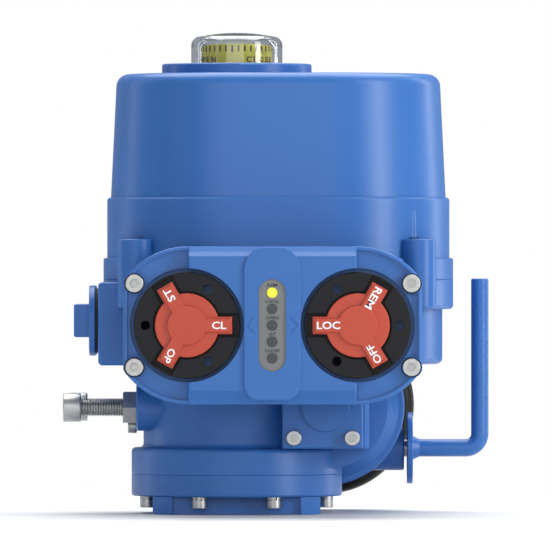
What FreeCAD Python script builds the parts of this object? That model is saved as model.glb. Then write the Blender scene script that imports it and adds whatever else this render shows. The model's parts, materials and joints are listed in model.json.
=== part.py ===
"""Electric quarter-turn valve actuator with a local control unit and an ISO 5211 base.

Millimetres. +Z is up along the output axis, X = Y = 0. Z = 0 is the valve flange face.
The control unit faces -Y, the handwheel is at the back, the declutch lever is on the +X side.
"""
import math
import os

import FreeCAD
import Part

V = FreeCAD.Vector
X, Y, Z = V(1, 0, 0), V(0, 1, 0), V(0, 0, 1)

# ---------------------------------------------------------------- clearances
RUN = 0.05            # radial clearance of a shaft in its bore
SCREW_GAP = 0.5       # radial clearance round a fixing screw
MOVE_GAP = 0.5        # least gap between pieces that move past each other

# ---------------------------------------------------------------- screws: shank r, head r, head height
M4, M5, M6, M10 = (2.0, 3.5, 4.0), (2.5, 4.25, 5.0), (3.0, 5.0, 6.0), (5.0, 8.0, 10.0)

# ---------------------------------------------------------------- base
EDGE, SEAM = 1.2, 0.35   # rounding of cast edges, and of edges along a parting line
BASE_R = 59.4         # base plate and housing flange
BASE_TOP = 22.0       # parting face of base plate and gear housing
PAD_TOP = 9.7         # height of the valve pad under the base plate
PAD_HALF = 47.5       # the pad is the base circle trimmed to this square
POCKET_HALF = 36.2    # half width of the pocket on each side of the pad
POCKET_WALL = 44.0    # distance of each pocket's wall from the axis
BASE_PCD = 108.6      # base screws
BASE_SCREWS = 8
WASHER_H = 1.3
F07_PCD, F07_TAP_R, F07_DEPTH = 70.0, 3.4, 15.0
F10_PCD, F10_TAP_R, F10_DEPTH = 102.0, 4.25, 19.0
SPIGOT_R, SPIGOT_DEPTH = 27.5, 3.5
BASE_RING_R, RING_SECTION = 46.0, 1.6

# ---------------------------------------------------------------- gear housing
FLANGE_TOP = 37.0
NECK_R = 52.7
SHELF_Z = 84.0        # underside of the electrical compartment
FLOOR_T = 4.0
CENTRE_2 = 46.9       # the compartment is a stadium with arcs about X = 0 and this X
WALL_R = 69.2         # outer wall of the lower half
WALL_T = 5.0
RIM_R = 75.3          # mating flanges
RIM_Z = 115.0
SPLIT_Z = 131.7       # parting face of gear housing and top cover
LUG_HALF = 10.0
LUG_X = (-56.6, 101.8)
LUG_SCREW_Y = 53.0
PAD_X, PAD_HALF_Y, PAD_Z = -77.6, 46.0, (83.5, 130.3)
CHAMBER_R = 42.0      # worm wheel chamber
PLATE_R = 45.0        # seat of the plate that closes it
CHAMBER_Z = (42.0, 80.0)

# ---------------------------------------------------------------- worm line, parallel to Y
WORM_X, WORM_Z = 50.0, 60.0
WORM_M, WHEEL_TEETH = 2.0, 36
WHEEL_HALF = 8.0
BACKLASH = 0.5
WORM_HALF = 22.0      # half length of the thread
BLOCK_X, BLOCK_Z, BLOCK_Y = (25.5, 74.4), (37.0, 86.0), -60.0
BLOCK_CHAMFER = 3.5
CAP_T, CAP_BOSS_R, CAP_BOSS_H = 7.0, 13.5, 1.5
CAP_SCREW_X, CAP_SCREW_Z = (32.15, 64.7), (43.1, 76.9)
BARREL_R, CONE_R, DRUM_R = 35.0, 41.8, 45.0
DRUM_Y = (16.0, 70.0)
DRUM_WALL = 8.0
DRUM_COVER_T = 6.0
BEARING_R, BEARING_W, WORM_JOURNAL_R = 13.0, 8.0, 6.0
THREAD_CHAMBER_R = 18.5

# ---------------------------------------------------------------- first reduction: pinion worm and wheel
PINION_M, PINION_TEETH, PINION_R = 1.25, 24, 9.0
PINION_Y = 29.0
FIRST_HALF = 5.0
PINION_HALF = 10.0
WORM_TURNS, PINION_TURNS = 7, 5       # odd, so that a thread gap faces the wheel
MOTOR_R, MOTOR_H, MOTOR_SHAFT_R = 23.0, 84.0, 4.0

# ---------------------------------------------------------------- output line
BUSH_R, HUB_R, SEAT_R = 24.5, 22.0, 26.0
HUB_Z = (6.0, 86.0)
DRIVE_R, DRIVE_BORE_R, KEY_W, KEY_H = 17.0, 11.0, 6.0, 2.8
DRIVE_LENGTH = 42.0
BLANK_R, LUG_R = 29.0, 37.0
SECTOR = (-112.0, 22.0)
PLATE_T = 5.0
SHAFT_R = 5.0
CAM_R, CAM_T, CAM_Z, CAMS = 14.0, 5.0, 150.0, 4

# ---------------------------------------------------------------- travel stops and earth screw
STOP_Y, STOP_Z = 19.0, 59.6
BOSS_R, BOSS_X = 13.1, -56.5
STOP_HEAD_X = (-97.7, -94.7)     # front and back screw, outer face of the head
STOP_TIP_X = (-29.0, -26.0)
STOP_GAP = 0.3
NUT_AF, NUT_H = 17.0, 7.5
EARTH_Z = 49.2

# ---------------------------------------------------------------- top cover and dome
BAND_R, BAND_TOP = 73.2, 178.0
COVER_RIM_TOP = 143.9
TAPER_R = (71.1, 67.7)
ROOF_Z, ROOF_FILLET = 247.6, 7.0
TOWER_R, TOWER_TOP = 42.25, 253.4
COVER_WALL = 5.0
LUG_TOP = 154.4
WING_X, WING_TOP = 14.5, 153.0
DOME_R, DOME_WALL, DOME_SHOULDER, DOME_TOP = 25.75, 2.2, 263.8, 271.0
DOME_FLANGE_R, DOME_FLANGE_T = 31.5, 2.5
GASKET_T, CLAMP_T, CLAMP_R = 1.5, 3.0, 38.0
CLAMP_SCREW_PCD = 69.5
DRUM_SCALE_R, SCALE_Z = 20.0, (252.0, 264.6)

# ---------------------------------------------------------------- control unit
KNOB_X, KNOB_Z = (-27.1, 67.3), 106.4
PANEL_X, PANEL_HALF = 20.05, 15.7
BOX_R = 43.75
BOX_CLIP = (-62.4, 103.0)
BOX_BACK, BOX_FRONT = -76.5, -112.0
RIM_Y, CRESCENT_Y, FACE_Y, PANEL_Y = -123.0, -120.5, -128.0, -129.5
BOX_RIM_W, BOX_WALL = 2.0, 3.5
BOX_LUG_R = 6.1
BOX_SCREW_X, BOX_SCREW_Z = (-56.2, 97.1), (83.2, 129.5)
STEP_X = (-26.5, 66.9)
FACE_Z = (70.3, 144.7)
SLOPE_Z, SLOPE_DROP = (64.8, 147.1), 4.0
RECESS_R, RECESS_Y = 31.6, -117.0
NECK_X, NECK_Z = (-8.0, 54.0), (88.0, 113.0)
WINDOW_R, WINDOW_HALF, WINDOW_T = 7.6, 18.0, 2.0
LED_PITCH, LED_R, LEDS = 9.05, 2.85, 5
BOARD_T = 1.6
KNOB_R, KNOB_T, HUB_KNOB_R, ARM_R, ARM_W = 29.5, 8.5, 17.75, 25.0, 9.7
CHANNEL_R, CHANNEL_W, CHANNEL_T = 28.3, 13.4, 4.0
KNOB_HOLE_R, KNOB_HOLE_AT = 2.65, 23.0
SPINDLE_R = 4.0
GRIP_R, GRIP_T = 11.0, 1.6
ARM_ANGLES = {"left": (0, 120, 240), "right": (180, 300, 60)}

# ---------------------------------------------------------------- cable plugs
PLUG_Y, PLUG_Z = 23.0, 108.6
PLUG_THREAD_R, PLUG_FLANGE_R, PLUG_HEAD = 16.0, 19.75, 18.6
PLUG_X = (-91.5, -82.9, -79.4, -77.6, -66.0)

# ---------------------------------------------------------------- lever and handwheel
LEVER_Y, LEVER_Z = 38.0, 36.0
LEVER_BOSS_R, LEVER_BOSS_X = 12.7, 94.9
LEVER_PLATE_X, LEVER_PLATE_R = (96.6, 99.8), 20.25
ROD_R, ROD_X, ROD_TOP, ROD_BEND = 4.95, 138.0, 132.3, 8.0
WELD_R, WELD_L = 6.8, 4.0
SLEEVE_R, SLEEVE_Y, GROOVE_D, GROOVE_W = 13.0, (35.0, 47.0), 2.5, 6.5
SLEEVE_TRAVEL = 5.0
FORK_T = 3.0
WHEEL_SHAFT_R = 8.0
HANDWHEEL_R, HANDWHEEL_Y, RIM_SECTION = 51.3, (88.0, 104.0), 6.5


# ================================================================ plain shapes
def box(x, y, z):
    """Box from three (low, high) pairs."""
    (x0, x1), (y0, y1), (z0, z1) = sorted(x), sorted(y), sorted(z)
    return Part.makeBox(x1 - x0, y1 - y0, z1 - z0, V(x0, y0, z0))


def rod(radius, start, end):
    """Cylinder between two points."""
    start, end = V(*start), V(*end)
    return Part.makeCylinder(radius, (end - start).Length, start, end - start)


def cone(r0, r1, start, end):
    start, end = V(*start), V(*end)
    return Part.makeCone(r0, r1, (end - start).Length, start, end - start)


def ring(outer, inner, start, end):
    return rod(outer, start, end).cut(rod(inner, start, end))


def prism(points, direction):
    """Straight prism on a closed outline of straight edges."""
    outline = [V(*p) for p in points]
    return Part.Face(Part.makePolygon(outline + outline[:1])).extrude(direction)


def join(first, *others):
    return first.fuse(list(others)).removeSplitter()


def stadium_wire(radius, z, x0=0.0, x1=CENTRE_2):
    """Two half circles about x0 and x1, joined by straight sides."""
    left = Part.Arc(V(x0, radius, z), V(x0 - radius, 0, z), V(x0, -radius, z)).toShape()
    front = Part.LineSegment(V(x0, -radius, z), V(x1, -radius, z)).toShape()
    right = Part.Arc(V(x1, -radius, z), V(x1 + radius, 0, z), V(x1, radius, z)).toShape()
    back = Part.LineSegment(V(x1, radius, z), V(x0, radius, z)).toShape()
    return Part.Wire([left, front, right, back])


def stadium(radius, z0, z1):
    return Part.Face(stadium_wire(radius, z0)).extrude(V(0, 0, z1 - z0))


def tapered_stadium(r0, r1, z0, z1):
    return Part.makeLoft([stadium_wire(r0, z0), stadium_wire(r1, z1)], True, True)


def soften(shape, radius, chosen=lambda edge: True):
    """Round the chosen edges of a plain solid."""
    return shape.makeFillet(radius, [edge for edge in shape.Edges if chosen(edge) and edge.Length > 0.01])


def level(z):
    """Picks the edges that lie in the horizontal plane at z."""
    return lambda edge: abs(edge.BoundBox.ZMin - z) < 0.01 and abs(edge.BoundBox.ZMax - z) < 0.01


def upright(y):
    """Picks the edges that lie in the vertical plane at y."""
    return lambda edge: abs(edge.BoundBox.YMin - y) < 0.01 and abs(edge.BoundBox.YMax - y) < 0.01


def endwise(edge):
    """Picks the edges that run along Y."""
    return edge.BoundBox.XLength < 0.01 and edge.BoundBox.ZLength < 0.01


def circles(edge):
    return isinstance(edge.Curve, Part.Circle)


def cove(radius, z, size):
    """Hollow fillet round an upright cylinder where it stands on a face at z."""
    corner, foot, head = V(radius - 1, 0, z - 1), V(radius + size, 0, z), V(radius, 0, z + size)
    mid = V(radius + size * (1 - math.sqrt(0.5)), 0, z + size * (1 - math.sqrt(0.5)))
    lines = [Part.makeLine(corner, V(radius + size, 0, z - 1)), Part.makeLine(V(radius + size, 0, z - 1), foot),
             Part.Arc(foot, mid, head).toShape(), Part.makeLine(head, V(radius - 1, 0, z + size)),
             Part.makeLine(V(radius - 1, 0, z + size), corner)]
    return Part.Face(Part.Wire(lines)).revolve(V(), Z, 360)


def hexagon(across_flats, start, end, direction):
    """Hexagonal bar along `direction` between two stations, flats to the top and bottom."""
    start, end = V(*start), V(*end)
    corner = across_flats / math.sqrt(3)
    side = direction.cross(Z) if abs(direction.z) < 0.5 else X
    up = direction.cross(side)
    points = []
    for k in range(6):
        angle = math.radians(60 * k)
        points.append(start + side * (corner * math.cos(angle)) + up * (corner * math.sin(angle)))
    return Part.Face(Part.makePolygon(points + points[:1])).extrude(end - start)


def socket_screw(size, seat, direction, length):
    """Cap screw whose head stands on `seat`; `direction` points from the head down the shank."""
    shank_r, head_r, head_h = size
    seat = V(*seat)
    head = Part.makeCylinder(head_r, head_h, seat - direction * head_h, direction)
    head = soften(head, shank_r * 0.2, circles)
    shank = Part.makeCylinder(shank_r, length, seat, direction)
    socket = hexagon(shank_r * 1.6, seat - direction * head_h,
                     seat - direction * (head_h * 0.45), direction)
    return head.fuse(shank).cut(socket)


def hole(size, seat, direction, length, tapped=False):
    """Clearance or tapped hole for a cap screw."""
    radius = size[0] + SCREW_GAP if not tapped else size[0]
    return Part.makeCylinder(radius, length, V(*seat), direction)


def around(count, pcd, start_deg):
    """Points of a bolt circle about the output axis."""
    return [(pcd / 2 * math.cos(math.radians(start_deg + 360.0 * k / count)),
             pcd / 2 * math.sin(math.radians(start_deg + 360.0 * k / count))) for k in range(count)]


# ================================================================ gears and worms
def gear_tooth(pitch_r, module, half_face, twist_per_mm):
    """One straight-flanked tooth on +X, twisted about Z to follow its worm."""
    root, tip = pitch_r - 1.25 * module - 0.4, pitch_r + module
    half_pitch = (math.pi * module - BACKLASH) / 4
    slope = math.tan(math.radians(20))
    wide, narrow = half_pitch + (pitch_r - root) * slope, half_pitch - module * slope
    wires = []
    for z in (-half_face, 0, half_face):
        outline = [V(root, -wide, z), V(tip, -narrow, z), V(tip, narrow, z), V(root, wide, z)]
        wire = Part.makePolygon(outline + outline[:1])
        wire.rotate(V(), Z, math.degrees(twist_per_mm * z))
        wires.append(wire)
    return Part.makeLoft(wires, True, True)


def gear_ring(pitch_r, module, count, half_face, worm_r, keep=lambda angle: True):
    """Teeth of a worm wheel, without the blank under them."""
    lead_slope = module / 2 / worm_r
    tooth = gear_tooth(pitch_r, module, half_face, lead_slope / pitch_r)
    teeth = []
    for k in range(count):
        angle = (360.0 * k / count + 180) % 360 - 180
        if keep(angle):
            copy = tooth.copy()
            copy.rotate(V(), Z, angle)
            teeth.append(copy)
    return teeth


def worm(pitch_r, module, turns, core_half):
    """Single-start worm along Z, with a thread gap facing +X at Z = 0."""
    lead = math.pi * module
    root, tip = pitch_r - 1.25 * module, pitch_r + module
    half_pitch = (math.pi * module - BACKLASH) / 4
    slope = math.tan(math.radians(20))
    inner = root - 0.4
    wide, narrow = half_pitch + (pitch_r - inner) * slope, half_pitch - module * slope
    start = -turns * lead / 2
    outline = [V(inner, 0, start - wide), V(tip, 0, start - narrow),
               V(tip, 0, start + narrow), V(inner, 0, start + wide)]
    helix = Part.makeHelix(lead, turns * lead, inner)
    helix.translate(V(0, 0, start))
    profile = Part.makePolygon(outline + outline[:1])
    thread = Part.Wire(helix.Edges).makePipeShell([profile], True, True)
    core_end = turns * lead / 2 + 3 * module
    core = Part.makeCylinder(root, 2 * core_end, V(0, 0, -core_end))
    return core.fuse(thread).common(Part.makeCylinder(tip + 1, 2 * core_half, V(0, 0, -core_half)))


def place(shape, matrix_rows, at):
    """Turn a shape by a rotation matrix given as rows, then move it to `at`."""
    (a, b, c), (d, e, f), (g, h, i) = matrix_rows
    matrix = FreeCAD.Matrix(a, b, c, at[0], d, e, f, at[1], g, h, i, at[2], 0, 0, 0, 1)
    placed = shape.copy()
    placed.Placement = FreeCAD.Placement(matrix).multiply(placed.Placement)
    return placed


TO_WORM_LINE = ((-1, 0, 0), (0, 0, 1), (0, 1, 0))      # local X to -X, local Z to +Y
TO_FIRST_WHEEL = ((1, 0, 0), (0, 0, 1), (0, -1, 0))    # local X to +X, local Z to +Y
TO_MOTOR_LINE = ((-1, 0, 0), (0, -1, 0), (0, 0, 1))    # local X to -X, local Z up

WORM_R = WORM_X - WORM_M * WHEEL_TEETH / 2
FIRST_R = PINION_M * PINION_TEETH / 2
MOTOR_X = WORM_X + FIRST_R + PINION_R
FLOOR_Z = SHELF_Z + FLOOR_T
MOTOR_Z = WORM_Z + DRUM_R + 1.0      # top of the motor pedestal over the gear drum


# ================================================================ base
def base_plate():
    body = soften(rod(BASE_R, (0, 0, PAD_TOP), (0, 0, BASE_TOP)), EDGE, level(PAD_TOP))
    body = soften(body, SEAM, level(BASE_TOP))
    pad = rod(BASE_R, (0, 0, 0), (0, 0, PAD_TOP))
    pad = pad.common(box((-PAD_HALF, PAD_HALF), (-PAD_HALF, PAD_HALF), (0, PAD_TOP)))
    for quarter in range(4):
        pocket = box((-POCKET_HALF, POCKET_HALF), (-BASE_R - 1, -POCKET_WALL), (-1, PAD_TOP))
        pocket.rotate(V(), Z, 90 * quarter)
        pad = pad.cut(pocket)
    body = join(body, pad)
    cuts = [rod(BUSH_R, (0, 0, -1), (0, 0, BASE_TOP + 1)),
            rod(SPIGOT_R, (0, 0, -1), (0, 0, SPIGOT_DEPTH)),
            ring(BASE_RING_R + RING_SECTION, BASE_RING_R,
                 (0, 0, BASE_TOP - RING_SECTION), (0, 0, BASE_TOP + 1))]
    for x, y in around(4, F07_PCD, 45):
        cuts.append(rod(F07_TAP_R, (x, y, -1), (x, y, F07_DEPTH)))
    for x, y in around(4, F10_PCD, 45):
        cuts.append(rod(F10_TAP_R, (x, y, -1), (x, y, F10_DEPTH)))
    for x, y in around(BASE_SCREWS, BASE_PCD, 22.5):
        cuts.append(hole(M5, (x, y, PAD_TOP - 1), Z, BASE_TOP))
    return body.cut(cuts)


def base_ring():
    return ring(BASE_RING_R + RING_SECTION, BASE_RING_R,
                (0, 0, BASE_TOP - RING_SECTION), (0, 0, BASE_TOP))


BASE_SCREW_L = BASE_TOP - PAD_TOP + WASHER_H + 10.0


def base_screws():
    """Eight cap screws, each with its captive spring washer."""
    screws = [socket_screw(M5, (x, y, PAD_TOP - WASHER_H), Z, BASE_SCREW_L)
              for x, y in around(BASE_SCREWS, BASE_PCD, 22.5)]
    return Part.makeCompound(screws + base_washers())


def base_washers():
    """Split spring washers, each captive on its screw."""
    washers = []
    for k, (x, y) in enumerate(around(BASE_SCREWS, BASE_PCD, 22.5)):
        washer = ring(M5[1] - 0.05, M5[0] + 0.1, (x, y, PAD_TOP - WASHER_H), (x, y, PAD_TOP))
        split = box((M5[0] - 1, M5[1] + 1), (-0.35, 0.35), (0, PAD_TOP + 1))
        split.rotate(V(), Z, 22.5 + 45 * k)
        split.translate(V(x, y, 0))
        washers.append(washer.cut(split))
    return washers


# ================================================================ gear housing
def lug(x, y_sign, z0, z1):
    """Corner lug of a mating flange, with a round outer end."""
    y_mid = LUG_SCREW_Y * y_sign
    block = box((x - LUG_HALF, x + LUG_HALF), (y_mid, 0), (z0, z1))
    post = block.fuse(rod(LUG_HALF, (x, y_mid, z0), (x, y_mid, z1))).removeSplitter()
    return soften(post, EDGE, level(z1)) if z1 > SPLIT_Z else soften(post, EDGE, level(z0))


def lug_places():
    return [(x, s) for x in LUG_X for s in (-1, 1)]


def stop_boss():
    """Two joined round bosses that the stop screws pass through."""
    parts = [soften(rod(BOSS_R, (BOSS_X, s * STOP_Y, STOP_Z), (-30, s * STOP_Y, STOP_Z)), EDGE, circles)
             for s in (-1, 1)]
    parts.append(box((BOSS_X, -30), (-STOP_Y, STOP_Y), (STOP_Z - BOSS_R, STOP_Z + BOSS_R)))
    return join(*parts)


def housing_outside():
    block = box(BLOCK_X, (BLOCK_Y + CAP_T, 0), BLOCK_Z)
    corner = [(BLOCK_X[1] - BLOCK_CHAMFER, BLOCK_Y + CAP_T - 1, 0), (BLOCK_X[1] + 1, BLOCK_Y + CAP_T - 1, 0),
              (BLOCK_X[1] + 1, BLOCK_Y + CAP_T + BLOCK_CHAMFER, 0)]
    block = block.cut(prism(corner, V(0, 0, 2 * BLOCK_Z[1])))
    block = soften(block, EDGE, level(BLOCK_Z[0]))
    y0, y1 = DRUM_Y
    cone_l = 8.0
    flange = soften(rod(BASE_R, (0, 0, BASE_TOP), (0, 0, FLANGE_TOP)), SEAM, level(BASE_TOP))
    flange = soften(flange, 2 * EDGE, level(FLANGE_TOP))
    rim = soften(stadium(RIM_R, RIM_Z, SPLIT_Z), 2 * EDGE, level(RIM_Z))
    solids = [flange, cove(NECK_R, FLANGE_TOP, 2 * EDGE),
              rod(NECK_R, (0, 0, FLANGE_TOP), (0, 0, SHELF_Z + 1)),
              soften(stadium(WALL_R, SHELF_Z, SPLIT_Z), 3 * EDGE, level(SHELF_Z)),
              soften(rim, SEAM, level(SPLIT_Z)),
              block, stop_boss(),
              rod(BARREL_R, (WORM_X, -24, WORM_Z), (WORM_X, y0, WORM_Z)),
              cone(BARREL_R, CONE_R, (WORM_X, y0 - cone_l, WORM_Z), (WORM_X, y0, WORM_Z)),
              soften(rod(DRUM_R, (WORM_X, y0, WORM_Z), (WORM_X, y1, WORM_Z)), EDGE, upright(y0)),
              soften(rod(LEVER_BOSS_R, (WORM_X, LEVER_Y, LEVER_Z), (LEVER_BOSS_X, LEVER_Y, LEVER_Z)), EDGE,
                     circles),
              rod(MOTOR_R + 2.5, (MOTOR_X, PINION_Y, SHELF_Z + 1), (MOTOR_X, PINION_Y, MOTOR_Z)),
              soften(box((PAD_X, -40), (-PAD_HALF_Y, PAD_HALF_Y), PAD_Z), 2 * EDGE)]
    solids += [lug(x, s, RIM_Z + 0.7, SPLIT_Z) for x, s in lug_places()]
    return join(*solids)


def gear_housing():
    body = housing_outside()
    below = rod(BASE_R + 2 * MOVE_GAP, (0, 0, -1), (0, 0, BASE_TOP))
    below_drum = box((-100, 200), (-100, 100), (-1, BASE_TOP)).common(below)
    y0, y1 = DRUM_Y
    inner_r = DRUM_R - DRUM_WALL
    low, high = CHAMBER_Z
    neck_low = rod(BUSH_R, (0, 0, BASE_TOP - 1), (0, 0, low + 1))
    chamber = rod(CHAMBER_R, (0, 0, low), (0, 0, SHELF_Z))
    plate_seat = rod(PLATE_R, (0, 0, high), (0, 0, SPLIT_Z))
    compartment = stadium(WALL_R - WALL_T, FLOOR_Z, SPLIT_Z + 1).cut([
        rod(DRUM_R, (WORM_X, y0, WORM_Z), (WORM_X, y1, WORM_Z)),
        rod(BARREL_R, (WORM_X, -24, WORM_Z), (WORM_X, y0, WORM_Z)),
        rod(MOTOR_R + 2.5, (MOTOR_X, PINION_Y, FLOOR_Z - 1), (MOTOR_X, PINION_Y, MOTOR_Z))])
    drum_room = rod(inner_r, (WORM_X, y0 + DRUM_WALL, WORM_Z), (WORM_X, y1 + 1, WORM_Z))
    lever_boss = rod(LEVER_BOSS_R, (WORM_X + 22, LEVER_Y, LEVER_Z), (LEVER_BOSS_X, LEVER_Y, LEVER_Z))
    drum_room = drum_room.cut(lever_boss)
    thread_room = rod(THREAD_CHAMBER_R, (WORM_X, -WORM_HALF - 3, WORM_Z), (WORM_X, WORM_HALF - 6, WORM_Z))
    cuts = [below_drum, neck_low, chamber, plate_seat, compartment, drum_room, thread_room,
            rod(BEARING_R, (WORM_X, BLOCK_Y + CAP_T - 1, WORM_Z), (WORM_X, -WORM_HALF - 2, WORM_Z)),
            rod(BEARING_R, (WORM_X, WORM_HALF - 7, WORM_Z), (WORM_X, y0 + DRUM_WALL + 1, WORM_Z)),
            rod(PINION_R + PINION_M + 2, (MOTOR_X, PINION_Y, WORM_Z - PINION_HALF - 1),
                (MOTOR_X, PINION_Y, SPLIT_Z)),
            rod(SHAFT_R + RUN, (LEVER_BOSS_X + 1, LEVER_Y, LEVER_Z), (WORM_X, LEVER_Y, LEVER_Z)),
            stadium(RIM_R - 2.5, SPLIT_Z - RING_SECTION, SPLIT_Z + 1).cut(
                stadium(RIM_R - 2.5 - RING_SECTION, SPLIT_Z - RING_SECTION, SPLIT_Z + 1))]
    for s, tip in zip((-1, 1), STOP_TIP_X):
        cuts.append(rod(M10[0] + RUN, (BOSS_X - 1, s * STOP_Y, STOP_Z), (tip - 1, s * STOP_Y, STOP_Z)))
    cuts.append(rod(M5[0], (BOSS_X - 1, 0, EARTH_Z), (BOSS_X + 9, 0, EARTH_Z)))
    for s in (-1, 1):
        cuts.append(rod(PLUG_THREAD_R, (PAD_X - 1, s * PLUG_Y, PLUG_Z), (-45, s * PLUG_Y, PLUG_Z)))
    for x, y in around(BASE_SCREWS, BASE_PCD, 22.5):
        cuts.append(hole(M5, (x, y, BASE_TOP - 1), Z, 11.5, tapped=True))
    for x, s in lug_places():
        cuts.append(hole(M6, (x, s * LUG_SCREW_Y, SPLIT_Z + 1), -Z, 14.5, tapped=True))
    for x in CAP_SCREW_X:
        for z in CAP_SCREW_Z:
            cuts.append(hole(M5, (x, BLOCK_Y + CAP_T - 1, z), Y, 13, tapped=True))
    for x, z in drum_screw_places():
        cuts.append(hole(M4, (x, y1 + 1, z), -Y, 11, tapped=True))
    for x, z in neck_screw_places():
        cuts.append(hole(M6, (x, -WALL_R + WALL_T + 1, z), -Y, 10))
    return body.cut(cuts)


def drum_screw_places():
    radius = DRUM_R - DRUM_WALL / 2
    return [(WORM_X + radius * math.cos(math.radians(a)), WORM_Z + radius * math.sin(math.radians(a)))
            for a in range(30, 390, 60)]


def neck_screw_places():
    return [(x, z) for x in (NECK_X[0] + 7, NECK_X[1] - 7) for z in (NECK_Z[0] + 8, NECK_Z[1] - 6)]


def worm_end_cap():
    """Front plate of the worm block, with its round bearing boss."""
    plate = box((BLOCK_X[0], BLOCK_X[1] - BLOCK_CHAMFER), (BLOCK_Y, BLOCK_Y + CAP_T), (BLOCK_Z[0], SHELF_Z - 0.5))
    plate = soften(plate, EDGE, lambda edge: abs(edge.BoundBox.YMin - BLOCK_Y) < 0.01)
    boss = rod(CAP_BOSS_R, (WORM_X, BLOCK_Y - CAP_BOSS_H, WORM_Z), (WORM_X, BLOCK_Y, WORM_Z))
    boss = soften(boss, EDGE / 2, upright(BLOCK_Y - CAP_BOSS_H))
    spigot = rod(BEARING_R - RUN, (WORM_X, BLOCK_Y + CAP_T, WORM_Z), (WORM_X, BLOCK_Y + CAP_T + 8, WORM_Z))
    bore = rod(WORM_JOURNAL_R + 1, (WORM_X, BLOCK_Y + CAP_T - 2, WORM_Z), (WORM_X, 0, WORM_Z))
    cap = join(plate, boss, spigot).cut(bore)
    for x in CAP_SCREW_X:
        for z in CAP_SCREW_Z:
            cap = cap.cut(hole(M5, (x, BLOCK_Y - 1, z), Y, CAP_T + 2))
    return cap


def worm_cap_screws():
    return Part.makeCompound([socket_screw(M5, (x, BLOCK_Y, z), Y, CAP_T + 11)
                              for x in CAP_SCREW_X for z in CAP_SCREW_Z])


FRONT_BEARING_Y = (BLOCK_Y + CAP_T + 8, BLOCK_Y + CAP_T + 8 + BEARING_W)
BACK_BEARING_Y = (WORM_HALF - 6, DRUM_Y[0] + DRUM_WALL)


def worm_bearings():
    """Two ball bearings drawn as an outer race, with room for the turning journal."""
    outer, inner = BEARING_R - 0.01, WORM_JOURNAL_R + RUN
    return Part.makeCompound([ring(outer, inner, (WORM_X, y0, WORM_Z), (WORM_X, y1, WORM_Z))
                              for y0, y1 in (FRONT_BEARING_Y, BACK_BEARING_Y)])


WORM_SHAFT_END = SLEEVE_Y[1] + SLEEVE_TRAVEL - 1.0


def worm_shaft():
    thread = place(worm(WORM_R, WORM_M, WORM_TURNS, WORM_HALF - 1), TO_WORM_LINE, (WORM_X, 0, WORM_Z))
    journal = rod(WORM_JOURNAL_R, (WORM_X, FRONT_BEARING_Y[0] - 2, WORM_Z), (WORM_X, WORM_SHAFT_END, WORM_Z))
    thread = thread.common(box((0, 100), (FRONT_BEARING_Y[1] + 0.5, BACK_BEARING_Y[0] - 0.5), (0, 100)))
    return thread.fuse(journal)


def first_wheel():
    """Helical wheel on the worm shaft, driven by the motor's pinion worm."""
    root = FIRST_R - 1.25 * PINION_M
    blank = Part.makeCylinder(root, 2 * FIRST_HALF, V(0, 0, -FIRST_HALF))
    teeth = gear_ring(FIRST_R, PINION_M, PINION_TEETH, FIRST_HALF, PINION_R)
    wheel = blank.fuse(teeth)
    wheel = wheel.cut(Part.makeCylinder(WORM_JOURNAL_R, 4 * FIRST_HALF, V(0, 0, -2 * FIRST_HALF)))
    return place(wheel, TO_FIRST_WHEEL, (WORM_X, PINION_Y, WORM_Z))


def clutch_sleeve():
    """Sliding dog sleeve with the groove that the fork sits in."""
    y0, y1 = SLEEVE_Y
    sleeve = ring(SLEEVE_R, WORM_JOURNAL_R + RUN, (WORM_X, y0, WORM_Z), (WORM_X, y1, WORM_Z))
    mid = LEVER_Y + 1.5
    groove = ring(SLEEVE_R + 1, SLEEVE_R - GROOVE_D, (WORM_X, mid - GROOVE_W / 2, WORM_Z),
                  (WORM_X, mid + GROOVE_W / 2, WORM_Z))
    return sleeve.cut(groove)


# ================================================================ motor drive
def motor_body():
    z0, z1 = MOTOR_Z, MOTOR_Z + MOTOR_H
    at = (MOTOR_X, PINION_Y)
    can = rod(MOTOR_R, (*at, z0 + 4), (*at, z1))
    flange = rod(MOTOR_R + 1.5, (*at, z0), (*at, z0 + 4))
    cap = rod(MOTOR_R - 4, (*at, z1), (*at, z1 + 5))
    bore = rod(MOTOR_SHAFT_R + RUN, (*at, z0 - 1), (*at, z0 + 30))
    return join(can, flange, cap).cut(bore)


def motor_shaft():
    """Motor shaft with the pinion worm cut on its end."""
    thread = worm(PINION_R, PINION_M, PINION_TURNS, PINION_HALF)
    thread = place(thread, TO_MOTOR_LINE, (MOTOR_X, PINION_Y, WORM_Z))
    stem = rod(MOTOR_SHAFT_R, (MOTOR_X, PINION_Y, WORM_Z), (MOTOR_X, PINION_Y, MOTOR_Z + 29))
    return thread.fuse(stem)


def capacitor():
    at = (86.0, -28.0)
    can = rod(14.0, (*at, FLOOR_Z), (*at, FLOOR_Z + 58))
    return join(can, rod(5.0, (*at, FLOOR_Z + 58), (*at, FLOOR_Z + 66)))


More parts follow.
